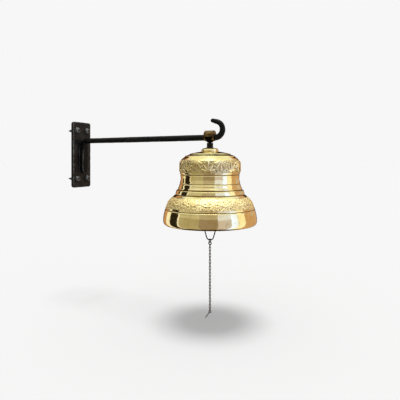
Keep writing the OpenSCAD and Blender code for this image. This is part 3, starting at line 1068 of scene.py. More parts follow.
def mesh_normals(piece: bpy.types.Object) -> np.ndarray:
    """The vertex normals of a mesh object, shape (n, 3)."""
    flat = np.zeros(len(piece.data.vertices) * 3, np.float32)
    piece.data.vertex_normals.foreach_get("vector", flat)
    return flat.reshape(-1, 3).astype(float)


def set_mesh_points(piece: bpy.types.Object, points: np.ndarray) -> None:
    """Moves the vertices of a mesh object."""
    piece.data.vertices.foreach_set("co", points.ravel())
    piece.data.update()


def add_mark(piece: bpy.types.Object, name: str, values: np.ndarray) -> None:
    """Gives a mesh a point attribute."""
    old = piece.data.attributes.get(name)
    if old:
        piece.data.attributes.remove(old)
    attribute = piece.data.attributes.new(name, "FLOAT", "POINT")
    attribute.data.foreach_set("value", values.astype(np.float32))


def bake_modifiers(piece: bpy.types.Object) -> None:
    """Turns a piece's modifiers into its mesh."""
    graph = bpy.context.evaluated_depsgraph_get()
    mesh = bpy.data.meshes.new_from_object(piece.evaluated_get(graph))
    piece.modifiers.clear()
    old, piece.data = piece.data, mesh
    mesh.name = piece.name
    bpy.data.meshes.remove(old)


def cut_away(piece: bpy.types.Object, cutter: Lattice) -> None:
    """Cuts a lattice's solid out of a piece."""
    tool = build_object("cutter", [cutter], piece.data.materials[0])
    modifier = piece.modifiers.new("cut", "BOOLEAN")
    modifier.operation = "DIFFERENCE"
    modifier.solver = "EXACT"
    modifier.object = tool
    bake_modifiers(piece)
    mesh = tool.data
    bpy.data.objects.remove(tool)
    bpy.data.meshes.remove(mesh)


def remesh(piece: bpy.types.Object, voxel: float) -> None:
    """Remakes a piece's skin in even quads, then smooths it a little."""
    modifier = piece.modifiers.new("even", "REMESH")
    modifier.mode = "VOXEL"
    modifier.voxel_size = voxel
    modifier.use_smooth_shade = True
    smooth = piece.modifiers.new("soften", "SMOOTH")
    smooth.factor = 0.5
    smooth.iterations = 3
    bake_modifiers(piece)


def prism(outline: Sequence[tuple[float, float]], half_depth: float) -> Lattice:
    """A prism along Y whose outline is drawn in the XZ plane."""
    flat = np.array(outline, float)
    rows = [
        np.column_stack([flat[:, 0], np.full(len(flat), y), flat[:, 1]])
        for y in (-half_depth, half_depth)
    ]
    return Lattice(np.array(rows), cap_start=True, cap_end=True)


def hex_nut(across: float, low: float, high: float, bore: float, columns: int = 96) -> Lattice:
    """A hexagonal nut round Z whose corners are turned off by a cone at both ends.

    Args:
        across: Distance across the flats.
        low: Height of its lower face.
        high: Height of its upper face.
        bore: Radius of the hole.
        columns: Points round each row.

    Returns:
        The nut as a closed ring.
    """
    corner = across / 2 / math.cos(math.pi / 6)
    trim = (corner - across / 2) * 1.15
    rise = trim * math.tan(math.radians(30.0))
    inner = bore + 0.35 * MM
    rows = [(bore, low + 0.35 * MM, 0), (inner, low, 0), (corner - trim, low, 0)]
    rows += [(corner, low + rise * t, 1) for t in np.linspace(0.05, 1.0, 6)]
    rows += [(corner, high - rise * t, 1) for t in np.linspace(1.0, 0.05, 6)]
    rows += [(corner - trim, high, 0), (inner, high, 0), (bore, high - 0.35 * MM, 0)]
    angle = np.arange(columns) / columns * 2 * math.pi
    sector = math.pi / 3
    flats = across / 2 / np.cos((angle + sector / 2) % sector - sector / 2)
    points, edge = [], []
    for radius, z, flat in rows:
        if flat:
            depth = min(z - low, high - z)
            cone = corner - trim + trim * min(1.0, depth / rise)
            ring = np.minimum(flats, cone)
            edge.append(smooth_step(0.955 * corner, corner, flats) * 0.9)
        else:
            ring = np.full(columns, radius)
            edge.append(np.full(columns, 0.7 if radius > inner else 0.1))
        points.append(np.column_stack([ring * np.cos(angle), ring * np.sin(angle), np.full(columns, z)]))
    return Lattice(np.array(points), wrap_rows=True, marks={"edge": np.array(edge)})


def wire_ring(centre: Sequence[float], radius: float, wire: float, side: np.ndarray) -> Lattice:
    """A closed ring of round wire, standing across the unit vector side."""
    along = np.cross(side, Z_AXIS)
    turn = np.linspace(0, 2 * math.pi, 49)[:-1, None]
    path = np.asarray(centre) + radius * (np.cos(turn) * along + np.sin(turn) * Z_AXIS)
    return sweep(path, np.full((48, 2), wire), 16, side=side, closed=True)


@dataclass
class Hanger:
    """What the bell hangs by: the bush on the arm, the eye with its stem, nut, boss and washer."""

    datum: Datum
    finishes: Finishes
    fit: float = 0.05 * MM
    arm_r: float = 5 * MM
    eye_r: float = 8.2 * MM
    eye_wide: float = 16 * MM
    bore_gap: float = 0.9 * MM
    neck_wide: float = 7.6 * MM
    funnel_top: float = 1.4 * MM
    funnel_bottom: float = -4.8 * MM
    stem_r: float = 3 * MM
    pitch: float = 1.0 * MM
    nut_across: float = 8.9 * MM
    nut_turn: float = 10.0
    voxel: float = 0.30 * MM

    def build(self) -> None:
        """Builds and dresses every piece of the hanger."""
        self.bush()
        self.eye()
        self.nut()
        self.cap()
        self.washer()

    def bush(self) -> None:
        """The thin sleeve between the arm and the eye, with rolled rims."""
        low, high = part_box("pivot_bush")
        outer, bore = (high.z - low.z) / 2, self.arm_r + self.fit
        half, soft = (high.x - low.x) / 2, 0.22 * MM
        outline = [(bore, half - soft), (bore + soft, half), (outer - soft, half), (outer, half - soft)]
        outline += [(outer, -half + soft), (outer - soft, -half), (bore + soft, -half)]
        outline += [(bore, -half + soft)]
        skin = Turning(outline, columns=64, ring=True).lattice()
        skin.moved(((low.x + high.x) / 2, 0.0, self.datum.arm_z), X_AXIS)
        # Painted shade: the whole bush is darkened to near black, for where it lies in shadow inside the
        # eye.
        skin.marks["soot"] = np.full(skin.points.shape[:2], 0.85)
        bush = build_object("pivot_bush_turned", [skin], self.finishes.aged)
        fit_out(bush, "bush", Slot.AGED_BRASS, "pivot_bush")

    def eye(self) -> None:
        """The cast eye: a block rounded over the arm, pinched to a neck, with a threaded stem."""
        low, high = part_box("hanger_eye")
        arm_z = self.datum.arm_z
        top_centre = high.z - self.eye_r
        outline = []
        for up, centre_z in ((1, top_centre), (-1, arm_z)):
            for a in np.linspace(0.0, math.pi, 49):
                outline.append(
                    (up * self.eye_r * math.cos(a), centre_z + up * self.eye_r * math.sin(a))
                )
        loop = np.array(outline)
        rows = []
        for x in (-self.eye_wide / 2, self.eye_wide / 2):
            rows.append(np.column_stack([np.full(len(loop), self.datum.bell_x + x), loop]))
        block = build_object(
            "hanger_eye_cast",
            [Lattice(np.array(rows), cap_start=True, cap_end=True)],
            self.finishes.aged,
        )
        wide, neck = self.eye_wide / 2, self.neck_wide / 2
        for side in (-1, 1):
            wedge = [
                (side * (wide + 1 * MM), self.funnel_top + 1 * MM),
                (side * neck, self.funnel_bottom),
                (side * neck, -12 * MM),
                (side * (wide + 1 * MM), -12 * MM),
            ]
            cutter = prism([(self.datum.bell_x + x, arm_z + z) for x, z in wedge], 12 * MM)
            cut_away(block, cutter)
        bore_r = self.arm_r + self.bore_gap
        bore = Turning([(bore_r, -20 * MM), (bore_r, 20 * MM)])
        cut_away(block, bore.lattice().moved((self.datum.bell_x, 0.0, arm_z), X_AXIS))
        remesh(block, self.voxel)
        points = mesh_points(block)
        swell = value_noise(points, 3.2 * MM, 21) * 0.10 + value_noise(points, 1.2 * MM, 22) * 0.05
        points += mesh_normals(block) * (swell * MM - 0.08 * MM)[:, None]
        set_mesh_points(block, points)
        from_axis = np.hypot(points[:, 1], points[:, 2] - arm_z)
        side_face = np.abs(np.abs(points[:, 0] - self.datum.bell_x) - wide)
        rim = np.minimum(np.abs(from_axis - self.eye_r), np.abs(from_axis - bore_r))
        add_mark(block, "edge", np.exp(-((np.hypot(side_face, rim) / (0.8 * MM)) ** 2)))
        add_mark(block, "cavity", smooth_step(self.eye_r, bore_r, from_axis) * 0.5)
        # Painted shade: below the funnel's top the eye is darkened to near black, for its lower part that
        # lies in shadow under the arm.
        painted_shade_top = arm_z + self.funnel_top
        add_mark(block, "soot", smooth_step(painted_shade_top + 0.6 * MM, painted_shade_top - 1.2 * MM, points[:, 2]))
        fit_out(block, "bell", Slot.AGED_BRASS, "hanger_eye")
        self.stem(low.z, arm_z - self.arm_r - 2.2 * MM)

    def stem(self, low: float, high: float) -> None:
        """The stem under the eye: a round neck, then a metric thread through nut and crown."""
        nut_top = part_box("crown_nut")[1].z
        thread = Thread(self.pitch, 0.45 * MM, low, nut_top + 1.2 * MM)
        neck = self.neck_wide / 2
        outline = [(self.stem_r - 0.7 * MM, low), (self.stem_r, low + 0.7 * MM)]
        outline += [(self.stem_r, z) for z in np.arange(low + 0.85 * MM, nut_top + 1.0 * MM, 0.14 * MM)]
        outline += [(self.stem_r, nut_top + 1.1 * MM), (neck - 0.5 * MM, nut_top + 1.3 * MM)]
        outline += [(neck, nut_top + 1.9 * MM), (neck, high)]
        skin = Turning(outline, columns=48, thread=thread).lattice()
        skin.marks["cavity"] = np.repeat(
            smooth_step(nut_top + 1.4 * MM, nut_top, skin.points[:, :1, 2]) * 0.5, 48, axis=1
        )
        stem = build_object(
            "hanger_stem_threaded", [skin.moved(self.datum.axis_foot)], self.finishes.bar
        )
        fit_out(stem, "bell", Slot.BLACK_SCREWS)

    def nut(self) -> None:
        """The black hexagonal nut that clamps the crown."""
        low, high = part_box("crown_nut")
        skin = hex_nut(self.nut_across, low.z, high.z, self.stem_r + self.fit)
        skin.points = spun(skin.points, -self.nut_turn)
        nut = build_object(
            "crown_nut_black", [skin.moved(self.datum.axis_foot)], self.finishes.bar
        )
        fit_out(nut, "bell", Slot.BLACK_SCREWS, "crown_nut")

    def cap(self) -> None:
        """The turned brass boss on the crown, with a step and a bead."""
        low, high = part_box("crown_cap")
        r, h, z = (high.x - low.x) / 2, high.z - low.z, low.z
        bore = self.stem_r + self.fit
        corners = [(bore, z), (r, z), (r, z + 0.28 * h), (0.965 * r, z + 0.40 * h)]
        corners += [(0.965 * r, z + 0.47 * h), (0.93 * r, z + 0.62 * h), (0.80 * r, z + 0.80 * h)]
        corners += [(0.66 * r, z + 0.86 * h), (0.62 * r, z + 0.84 * h), (0.58 * r, z + 0.90 * h)]
        corners += [(0.48 * r, high.z), (bore, high.z), (bore, z + 0.5 * h)]
        outline = rounded_outline(corners, 0.5 * MM, 4)
        skin = Turning(outline, columns=128, ring=True).lattice()
        groove = np.exp(-(((skin.points[:, :, 2] - z - 0.84 * h) / (0.3 * MM)) ** 2))
        near = np.hypot(skin.points[:, :, 0], skin.points[:, :, 1])
        skin.marks["cavity"] = groove * (np.abs(near - 0.62 * r) < 0.6 * MM) * 0.8
        cap = build_object(
            "crown_boss_turned", [skin.moved(self.datum.axis_foot)], self.finishes.polished
        )
        fit_out(cap, "bell", Slot.POLISHED_BRASS, "crown_cap")

    def washer(self) -> None:
        """The washer under the crown, inside the bell."""
        low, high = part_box("inner_washer")
        r, bore, soft = (high.x - low.x) / 2, self.stem_r + self.fit, 0.25 * MM
        outline = [(bore, low.z + soft), (bore + soft, low.z), (r - soft, low.z), (r, low.z + soft)]
        outline += [(r, high.z - soft), (r - soft, high.z), (bore + soft, high.z), (bore, high.z - soft)]
        skin = Turning(outline, columns=72, ring=True).lattice()
        washer = build_object(
            "inner_washer_brass", [skin.moved(self.datum.axis_foot)], self.finishes.aged
        )
        fit_out(washer, "bell", Slot.AGED_BRASS, "inner_washer")


@dataclass
class Bell:
    """The cast shell: stepped crown, frieze on the shoulder, ringed waist, pebbled flare and lip.

    The outlines give radius as a share of the lip's radius and depth as a share of the height.
    The measures of the ornament, leaf, bead and wave, are in millimetres and degrees.
    """

    datum: Datum
    finishes: Finishes
    columns: int = 420
    inner_columns: int = 105
    bore: float = 3.2 * MM
    crown_thick: float = 4.4 * MM
    shoulder: tuple[float, float] = (0.108, 0.296)
    flare: tuple[float, float] = (0.612, 0.764)
    motifs: int = 8
    leaf_side: int = 2
    leaf_lean: float = 34.0
    leaf_root: float = 8.2
    leaf_reach: float = 15.6
    leaf_wide: float = 1.35
    leaf_shrink: float = 0.18
    bead_r: float = 1.3
    waves: int = 16
    wave_r: float = 14.0
    wave_foot: float = 12.0
    wave_half: float = 40.0
    wave_wide: float = 0.8
    shoulder_r: float = 0.643
    flare_r: float = 0.88
    flare_slope: float = 1.25
    relief: float = 1.25 * MM
    outside: Sequence[tuple[float, float]] = (
        (0.185, 0.000),
        (0.270, 0.008),
        (0.432, 0.030),
        (0.438, 0.040),
        (0.535, 0.062),
        (0.545, 0.075),
        (0.596, 0.098),
        (0.628, 0.125),
        (0.642, 0.160),
        (0.643, 0.298),
        (0.640, 0.310),
        (0.621, 0.318),
        (0.632, 0.327),
        (0.632, 0.341),
        (0.625, 0.352),
        (0.625, 0.372),
        (0.634, 0.410),
        (0.647, 0.432),
        (0.636, 0.440),
        (0.650, 0.448),
        (0.668, 0.485),
        (0.689, 0.512),
        (0.676, 0.520),
        (0.716, 0.530),
        (0.738, 0.576),
        (0.728, 0.586),
        (0.762, 0.600),
        (0.795, 0.618),
        (0.838, 0.640),
        (0.874, 0.666),
        (0.906, 0.700),
        (0.930, 0.738),
        (0.944, 0.762),
        (0.953, 0.776),
        (0.942, 0.786),
        (0.963, 0.796),
        (0.966, 0.812),
        (0.980, 0.842),
        (0.990, 0.876),
        (0.998, 0.910),
        (1.000, 0.940),
        (0.996, 0.966),
        (0.984, 0.986),
        (0.958, 1.000),
    )
    inside: Sequence[tuple[float, float]] = (
        (0.914, 1.000),
        (0.903, 0.940),
        (0.886, 0.870),
        (0.866, 0.800),
        (0.846, 0.742),
        (0.826, 0.690),
        (0.796, 0.650),
        (0.738, 0.612),
        (0.676, 0.590),
        (0.640, 0.530),
        (0.596, 0.440),
        (0.572, 0.372),
        (0.572, 0.310),
        (0.592, 0.270),
        (0.594, 0.160),
        (0.573, 0.114),
        (0.515, 0.092),
        (0.390, 0.066),
    )

    def build(self) -> None:
        """Builds and dresses the shell."""
        low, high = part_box("bell_shell")
        self.lip_r, self.height, self.crown = (high.x - low.x) / 2, high.z - low.z, high.z
        outer = self.scaled(self.outside)
        inner = self.scaled(self.inside)
        under = self.crown - self.crown_thick
        outer = np.vstack([[self.bore, self.crown], outer, [[0.936 * self.lip_r, low.z]]])
        inner = np.vstack([inner, [0.113 * self.lip_r, under], [self.bore, under]])
        skin = self.outer_skin(outer)
        lining = self.inner_skin(inner)
        verts, faces, marks = self.joined(skin, lining)
        verts[:, 0] += self.datum.bell_x
        shell = mesh_object("bell_shell_cast", verts, faces, self.finishes.polished, marks, 55.0)
        fit_out(shell, "bell", Slot.POLISHED_BRASS, "bell_shell")

    def scaled(self, outline: Sequence[tuple[float, float]]) -> np.ndarray:
        """An outline of shares as (radius, height) in metres."""
        flat = np.array(outline)
        return np.column_stack([flat[:, 0] * self.lip_r, self.crown - flat[:, 1] * self.height])

    def spread_rows(self, outline: np.ndarray) -> np.ndarray:
        """Rows along the outline, close together on the two cast bands and at the grooves."""
        fine = resample(np.array(rounded_outline(outline, 0.7 * MM, 5)), 0.1 * MM)
        depth = (self.crown - fine[:, 1]) / self.height
        turn = np.gradient(np.unwrap(np.arctan2(*np.gradient(fine, axis=0).T)))
        turn = np.convolve(np.abs(turn), np.ones(9) / 9, "same")
        gap = np.full(len(fine), 1.9 * MM)
        for band, spacing in ((self.shoulder, 0.55 * MM), (self.flare, 0.62 * MM)):
            gap[(depth > band[0]) & (depth < band[1])] = spacing
        gap = np.clip(gap / (1.0 + turn * 60.0), 0.33 * MM, None)
        gap[-12:] = 0.35 * MM
        share = np.concatenate([[0.0], np.cumsum(0.1 * MM / gap[1:])])
        wanted = np.linspace(0.0, share[-1], int(share[-1]) + 1)
        return np.column_stack([np.interp(wanted, share, fine[:, k]) for k in range(2)])

    def outer_skin(self, outline: np.ndarray) -> Lattice:
        """The outside, with the frieze and the pebbled grounds raised from it."""
        rows = self.spread_rows(outline)
        tangent = np.gradient(rows, axis=0)
        tangent /= np.linalg.norm(tangent, axis=1, keepdims=True)
        normal = np.column_stack([-tangent[:, 1], tangent[:, 0]])
        angle = np.arange(self.columns) / self.columns * 2 * math.pi
        base = self.turned(rows, angle)
        flat = base.reshape(-1, 3)
        depth = np.repeat((self.crown - rows[:, 1]) / self.height, self.columns)
        around = np.tile(angle, len(rows))
        relief = self.ornament(flat, depth, around)
        lift, cavity, edge, punched = (v.reshape(len(rows), self.columns) for v in relief)
        moved = rows[:, None, :] + normal[:, None, :] * lift[:, :, None]
        points = np.stack(
            [moved[:, :, 0] * np.cos(angle), moved[:, :, 0] * np.sin(angle), moved[:, :, 1]], axis=-1
        )
        grooves = self.groove_shade(rows)[:, None]
        marks = {"cavity": np.clip(cavity + grooves, 0, 1), "edge": np.clip(edge, 0, 1)}
        return Lattice(points, marks=marks | {"punched": punched})

    @staticmethod
    def turned(rows: np.ndarray, angle: np.ndarray) -> np.ndarray:
        """Rows of (radius, height) turned about Z."""
        height = np.repeat(rows[:, 1:2], len(angle), axis=1)
        return np.stack(
            [rows[:, 0:1] * np.cos(angle), rows[:, 0:1] * np.sin(angle), height], axis=-1
        )

    @staticmethod
    def groove_shade(rows: np.ndarray) -> np.ndarray:
        """How deep each row lies in a turned groove, from 0 to 1."""
        run = run_along(rows)
        even = np.arange(0.0, run[-1], 0.15 * MM)
        radius = np.interp(even, run, rows[:, 0])
        wide = np.exp(-0.5 * (np.arange(-30, 31) / 11.0) ** 2)
        soft = np.convolve(np.pad(radius, 30, "edge"), wide / wide.sum(), "valid")
        sunk = np.clip((soft - radius) / (0.42 * MM), 0.0, 1.0) ** 1.5
        sunk[even > run[-1] - 16 * MM] = 0.0
        sunk[even < 24 * MM] *= 0.5
        return np.interp(run, even, sunk)

    def ornament(
        self, points: np.ndarray, depth: np.ndarray, around: np.ndarray
    ) -> tuple[np.ndarray, np.ndarray, np.ndarray, np.ndarray]:
        """Height of the cast relief, with the tarnish, the wear and the punching that go with it.

        Args:
            points: Points of the plain outside, shape (n, 3).
            depth: How far down each lies, as a share of the height.
            around: Angle of each about the axis.

        Returns:
            Lift, tarnish, wear and punching, each of shape (n,).
        """
        lift, cavity, edge, punched = (np.zeros(len(points)) for _ in range(4))
        low, high = self.shoulder
        fade = smooth_step(low, low + 0.012, depth) * (1 - smooth_step(high - 0.012, high, depth))
        band = fade > 0
        u, pitch = self.repeat(around[band], self.motifs, self.shoulder_r)
        v = ((low + high) / 2 - depth[band]) * self.height
        leaf = self.frieze(u, v, pitch)
        ground = self.pebbles(points[band], 1.7 * MM, 31)
        foot = 1 - np.abs(leaf - 0.22) / 0.22
        lift[band] = fade[band] * (leaf * self.relief - (1 - leaf) * ground * 0.35 * MM)
        cavity[band] = fade[band] * np.maximum((1 - leaf) * (0.30 + ground * 0.3), 0.95 * foot)
        edge[band] = fade[band] * smooth_step(0.55, 1.0, leaf)
        punched[band] = fade[band] * 0.8 * (1 - smooth_step(0.15, 0.55, leaf))
        low, high = self.flare
        fade = smooth_step(low, low + 0.010, depth) * (1 - smooth_step(high - 0.012, high, depth))
        band = fade > 0
        ground = self.pebbles(points[band], 2.0 * MM, 33)
        leaf = self.scrolls(around[band], depth[band])
        lift[band] = fade[band] * (leaf * 0.5 * MM - (1 - 0.8 * leaf) * ground * 0.5 * MM)
        foot = 1 - np.abs(leaf - 0.22) / 0.22
        cavity[band] = fade[band] * np.maximum((1 - leaf) * 0.45 * ground, 0.5 * foot)
        edge[band] = fade[band] * leaf
        punched[band] = fade[band]
        return lift, cavity, edge, punched

    @staticmethod
    def pebbles(points: np.ndarray, cell: float, seed: int) -> np.ndarray:
        """A punched ground: 0 on its rounded lands and 1 at the bottom of its pits."""
        coarse = value_noise(points, cell, seed)
        fine = value_noise(points, cell * 0.6, seed + 1)
        return smooth_step(-0.10, 0.75, 0.75 * coarse + 0.55 * fine)

    @staticmethod
    def stroke(
        u: np.ndarray, v: np.ndarray, a: tuple[float, float], b: tuple[float, float], wide: float
    ) -> np.ndarray:
        """A tapered stroke from a to b, in millimetres: 1 on its ridge and 0 off it."""
        au, av, bu, bv = (value * MM for value in (*a, *b))
        du, dv = bu - au, bv - av
        t = np.clip(((u - au) * du + (v - av) * dv) / (du * du + dv * dv), 0, 1)
        off = np.hypot(u - au - t * du, v - av - t * dv)
        half = wide * MM * (0.35 + 0.65 * np.sin(math.pi * np.clip(0.15 + 0.75 * t, 0, 1)))
        return 1 - smooth_step(0.35, 1.25, off / half)

    def repeat(self, around: np.ndarray, count: int, radius: float) -> tuple[np.ndarray, float]:
        """Distance along a band from the middle of its nearest repeat, and the repeat's length.

        Args:
            around: Angle about the axis.
            count: Repeats in the whole round.
            radius: The band's radius as a share of the lip's.
        """
        pitch = 2 * math.pi * radius * self.lip_r / count
        return (around / (2 * math.pi) * count) % 1.0 * pitch - pitch / 2, pitch

    def frieze(self, u: np.ndarray, v: np.ndarray, pitch: float) -> np.ndarray:
        """One repeat of the frieze: an upright fan of leaves, a bead and a hanging fan.

        Args:
            u: Distance along the band from the middle of the repeat.
            v: Height above the middle of the band.
            pitch: Length of the repeat.

        Returns:
            Height of the relief from 0 to 1.
        """
        side = np.abs(u)
        marks = []
        for foot, up in ((0.0, 1.0), (pitch / 2 / MM, -1.0)):
            root = (foot, -up * self.leaf_root)
            for k in range(-self.leaf_side, self.leaf_side + 1):
                lean = math.radians(self.leaf_lean * k)
                reach = self.leaf_reach * (1.0 - self.leaf_shrink * abs(k))
                tip = (foot + reach * math.sin(lean), root[1] + up * reach * math.cos(lean))
                marks.append(self.stroke(side, v, root, tip, self.leaf_wide))
        bead = np.hypot(side - pitch / 4, v) / MM
        marks.append(1 - smooth_step(0.5, 1.2, bead / self.bead_r))
        return np.clip(np.maximum.reduce(marks), 0, 1)

    def scrolls(self, around: np.ndarray, depth: np.ndarray) -> np.ndarray:
        """A faint wave on the pebbled flare, of equal arcs that rise and hang in turn."""
        u, pitch = self.repeat(around, self.waves, self.flare_r)
        low, high = self.flare
        v = ((low + high) / 2 - depth) * self.height * self.flare_slope
        arcs = []
        for foot, up in ((0.0, 1.0), (pitch / 2 / MM, -1.0)):
            middle = 180.0 - 90.0 * up
            ends = (middle - self.wave_half, middle + self.wave_half)
            centre = (foot, -up * self.wave_foot)
            arcs.append(self.arc(np.abs(u), v, centre, self.wave_r, *ends, self.wave_wide))
        return np.clip(np.maximum.reduce(arcs), 0, 1)

    @staticmethod
    def arc(
        u: np.ndarray, v: np.ndarray, centre: tuple[float, float], radius: float,
        start: float, end: float, wide: float,
    ) -> np.ndarray:
        """A raised arc from start to end degrees, its centre, radius and width in millimetres."""
        x, y = u / MM - centre[0], v / MM - centre[1]
        spin = np.degrees(np.arctan2(y, x)) % 360.0
        off = np.abs(np.hypot(x, y) - radius)
        taper = np.clip(np.minimum(spin - start, end - spin) / 12.0, 0.0, 1.0)
        return (1 - smooth_step(0.35, 1.25, off / wide)) * taper

    def inner_skin(self, outline: np.ndarray) -> Lattice:
        """The rough inside, from the lip up to the hole in the crown."""
        rows = resample(np.array(rounded_outline(outline, 1.2 * MM, 3)), 3.2 * MM)
        angle = np.arange(self.inner_columns) / self.inner_columns * 2 * math.pi
        points = self.turned(rows, angle)
        inside = rows[:, 1] > self.crown - self.height + 3 * MM
        shade = np.repeat(np.where(inside, 0.62, 0.1)[:, None], len(angle), axis=1)
        return Lattice(points, marks={"cavity": shade})

    def joined(
        self, skin: Lattice, lining: Lattice
    ) -> tuple[np.ndarray, list[tuple[int, ...]], dict[str, np.ndarray]]:
        """Outside and inside as one closed skin, joined along the lip and round the crown's hole."""
        outer_verts, outer_faces, outer_marks = skin.flat()
        inner_verts, inner_faces, inner_marks = lining.flat()
        count = len(outer_verts)
        faces = outer_faces + [tuple(i + count for i in f) for f in inner_faces]
        ratio = self.columns // self.inner_columns
        last_outer = count - self.columns
        last_inner = count + len(inner_verts) - self.inner_columns
        for fine, coarse, flip in ((last_outer, count, False), (0, last_inner, True)):
            for i in range(self.inner_columns):
                here, there = coarse + i, coarse + (i + 1) % self.inner_columns
                spots = [fine + (i * ratio + k) % self.columns for k in range(ratio + 1)]
                half = ratio // 2
                fan = [(spots[k], spots[k + 1], here if k < half else there) for k in range(ratio)]
                fan.append((spots[half], there, here))
                faces += [f[::-1] for f in fan] if flip else fan
        verts = np.vstack([outer_verts, inner_verts])
        blank = np.zeros(len(inner_verts))
        marks = {
            "cavity": np.concatenate([outer_marks["cavity"], inner_marks["cavity"]]),
            "edge": np.concatenate([outer_marks["edge"], blank]),
            "punched": np.concatenate([outer_marks["punched"], blank]),
        }
        if signed_volume(verts, faces) < 0:
            faces = [f[::-1] for f in faces]
        return verts, faces, marks


@dataclass
class Clapper:
    """The clapper and what it hangs from: an eye nut, a link, a rod with an eye, and a ball."""

    datum: Datum
    finishes: Finishes
    stem_r: float = 3.05 * MM
    nut_across: float = 10 * MM
    nut_high: float = 5.6 * MM
    eye_wire: float = 1.6 * MM
    link_wire: float = 1.25 * MM
    rod_r: float = 3 * MM
    ball_flat: float = 11.5 * MM
    hole_r: float = 1.15 * MM
    hole_end: float = 6.5 * MM

    def build(self) -> None:
        """Builds and dresses every piece of the clapper."""
        self.eye_nut()
        self.shackle()
        self.rod()
        self.ball()

    def eye_nut(self) -> None:
        """The nut inside the crown, with a forged eye under it."""
        low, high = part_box("eye_nut")
        nut = hex_nut(self.nut_across, high.z - self.nut_high, high.z, self.stem_r)
        ring_r = (high.z - self.nut_high - low.z + 0.6 * MM) / 2 - self.eye_wire
        centre = (self.datum.bell_x, 0.0, low.z + self.eye_wire + ring_r)
        ring = wire_ring(centre, ring_r, self.eye_wire, Y_AXIS)
        floor = high.z - self.nut_high
        web = [(0.1 * MM, floor + 1.2 * MM), (self.stem_r + 0.6 * MM, floor + 1.2 * MM)]
        web += [(self.stem_r + 0.6 * MM, floor - 0.1 * MM), (2.4 * MM, floor - 0.9 * MM)]
        web += [(0.1 * MM, floor - 1.1 * MM)]
        boss = Turning(web, columns=48).lattice()
        at = self.datum.axis_foot
        piece = build_object(
            "eye_nut_forged", [nut.moved(at), ring, boss.moved(at)], self.finishes.aged
        )
        fit_out(piece, "bell", Slot.AGED_BRASS, "eye_nut")

    def shackle(self) -> None:
        """The wire link between the eye nut and the rod's eye."""
        piece = build_object(
            "clapper_link_wire",
            [oval_wire("clapper_shackle", self.link_wire, across=True, gap=0.25 * MM)],
            self.finishes.wire,
        )
        fit_out(piece, "shackle", Slot.BLACK_WIRE, "clapper_shackle")

    def rod(self) -> None:
        """The forged rod: an eye at its top, swelling down to the ball."""
        low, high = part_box("clapper_rod")
        ring_r = (high.x - low.x) / 2 - self.eye_wire
        centre_z = high.z - self.eye_wire - ring_r
        ring = wire_ring((self.datum.bell_x, 0.0, centre_z), ring_r, self.eye_wire, Y_AXIS)
        top = centre_z - ring_r
        ball_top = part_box("clapper_ball")[1].z
        length = top - low.z
        outline = [(0.2 * MM, low.z)]
        for t in np.linspace(0.0, 1.0, 60):
            radius = self.rod_r + (self.eye_wire + 0.3 * MM - self.rod_r) * t
            radius += 0.10 * MM * math.sin(t * 31.0) * math.sin(t * 7.0)
            outline.append((radius, low.z + length * t))
        outline.append((0.3 * MM, top + 0.3 * MM))
        bar = Turning(outline, columns=32).lattice().moved(self.datum.axis_foot)
        collar_low = ball_top - 0.9 * MM
        collar = [(self.rod_r - 0.2 * MM, collar_low), (self.rod_r + 1.5 * MM, collar_low)]
        collar += [(self.rod_r + 1.2 * MM, collar_low + 0.9 * MM)]
        collar += [(self.rod_r - 0.2 * MM, ball_top + 0.5 * MM)]
        rivet = Turning(rounded_outline(collar, 0.4 * MM), columns=48, ring=True).lattice()
        piece = build_object(
            "clapper_rod_forged",
            [ring, bar, rivet.moved(self.datum.axis_foot)],
            self.finishes.clapper,
        )
        fit_out(piece, "clapper", Slot.CLAPPER_IRON, "clapper_rod")

    def ball(self) -> None:
        """The cast ball, flattened on two sides where the pull's wire enters it."""
        low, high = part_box("clapper_ball")
        r = (high.y - low.y) / 2
        outline = [(0.1 * MM, -self.hole_end), (self.hole_r, -self.hole_end)]
        outline += [(self.hole_r, -self.ball_flat + 0.3 * MM), (self.hole_r + 0.3 * MM, -self.ball_flat)]
        start = math.asin(self.ball_flat / r)
        rim = math.sqrt(r * r - self.ball_flat**2)
        outline += [(rim - 0.5 * MM, -self.ball_flat), (rim - 0.15 * MM, -self.ball_flat + 0.1 * MM)]
        for i in range(1, 40):
            a = -start + 2 * start * i / 40
            seam = 0.16 * MM * math.exp(-((a * r / (0.5 * MM)) ** 2))
            outline.append(((r - 0.1 * MM) * math.cos(a) + seam, r * math.sin(a)))
        outline += [(x, -z) for x, z in reversed(outline[:6])]
        skin = Turning(outline, columns=72).lattice()
        flat = skin.points.reshape(-1, 3)
        reach = np.linalg.norm(flat, axis=1, keepdims=True)
        bumps = value_noise(flat, 4 * MM, 41) * 0.12 * MM
        bumps = bumps + value_noise(flat, 1.6 * MM, 42) * 0.05 * MM
        from_hole = np.hypot(flat[:, 0], flat[:, 1]) - self.hole_r
        outer = smooth_step(0.6 * MM, 2 * MM, from_hole)
        flat = flat * (1 + ((bumps - 0.12 * MM) * outer)[:, None] / reach)
        skin.points = flat.reshape(skin.points.shape)
        centre = ((low.x + high.x) / 2, 0.0, (low.z + high.z) / 2)
        piece = build_object("clapper_ball_cast", [skin.moved(centre, X_AXIS)], self.finishes.clapper)
        fit_out(piece, "clapper", Slot.CLAPPER_IRON, "clapper_ball")


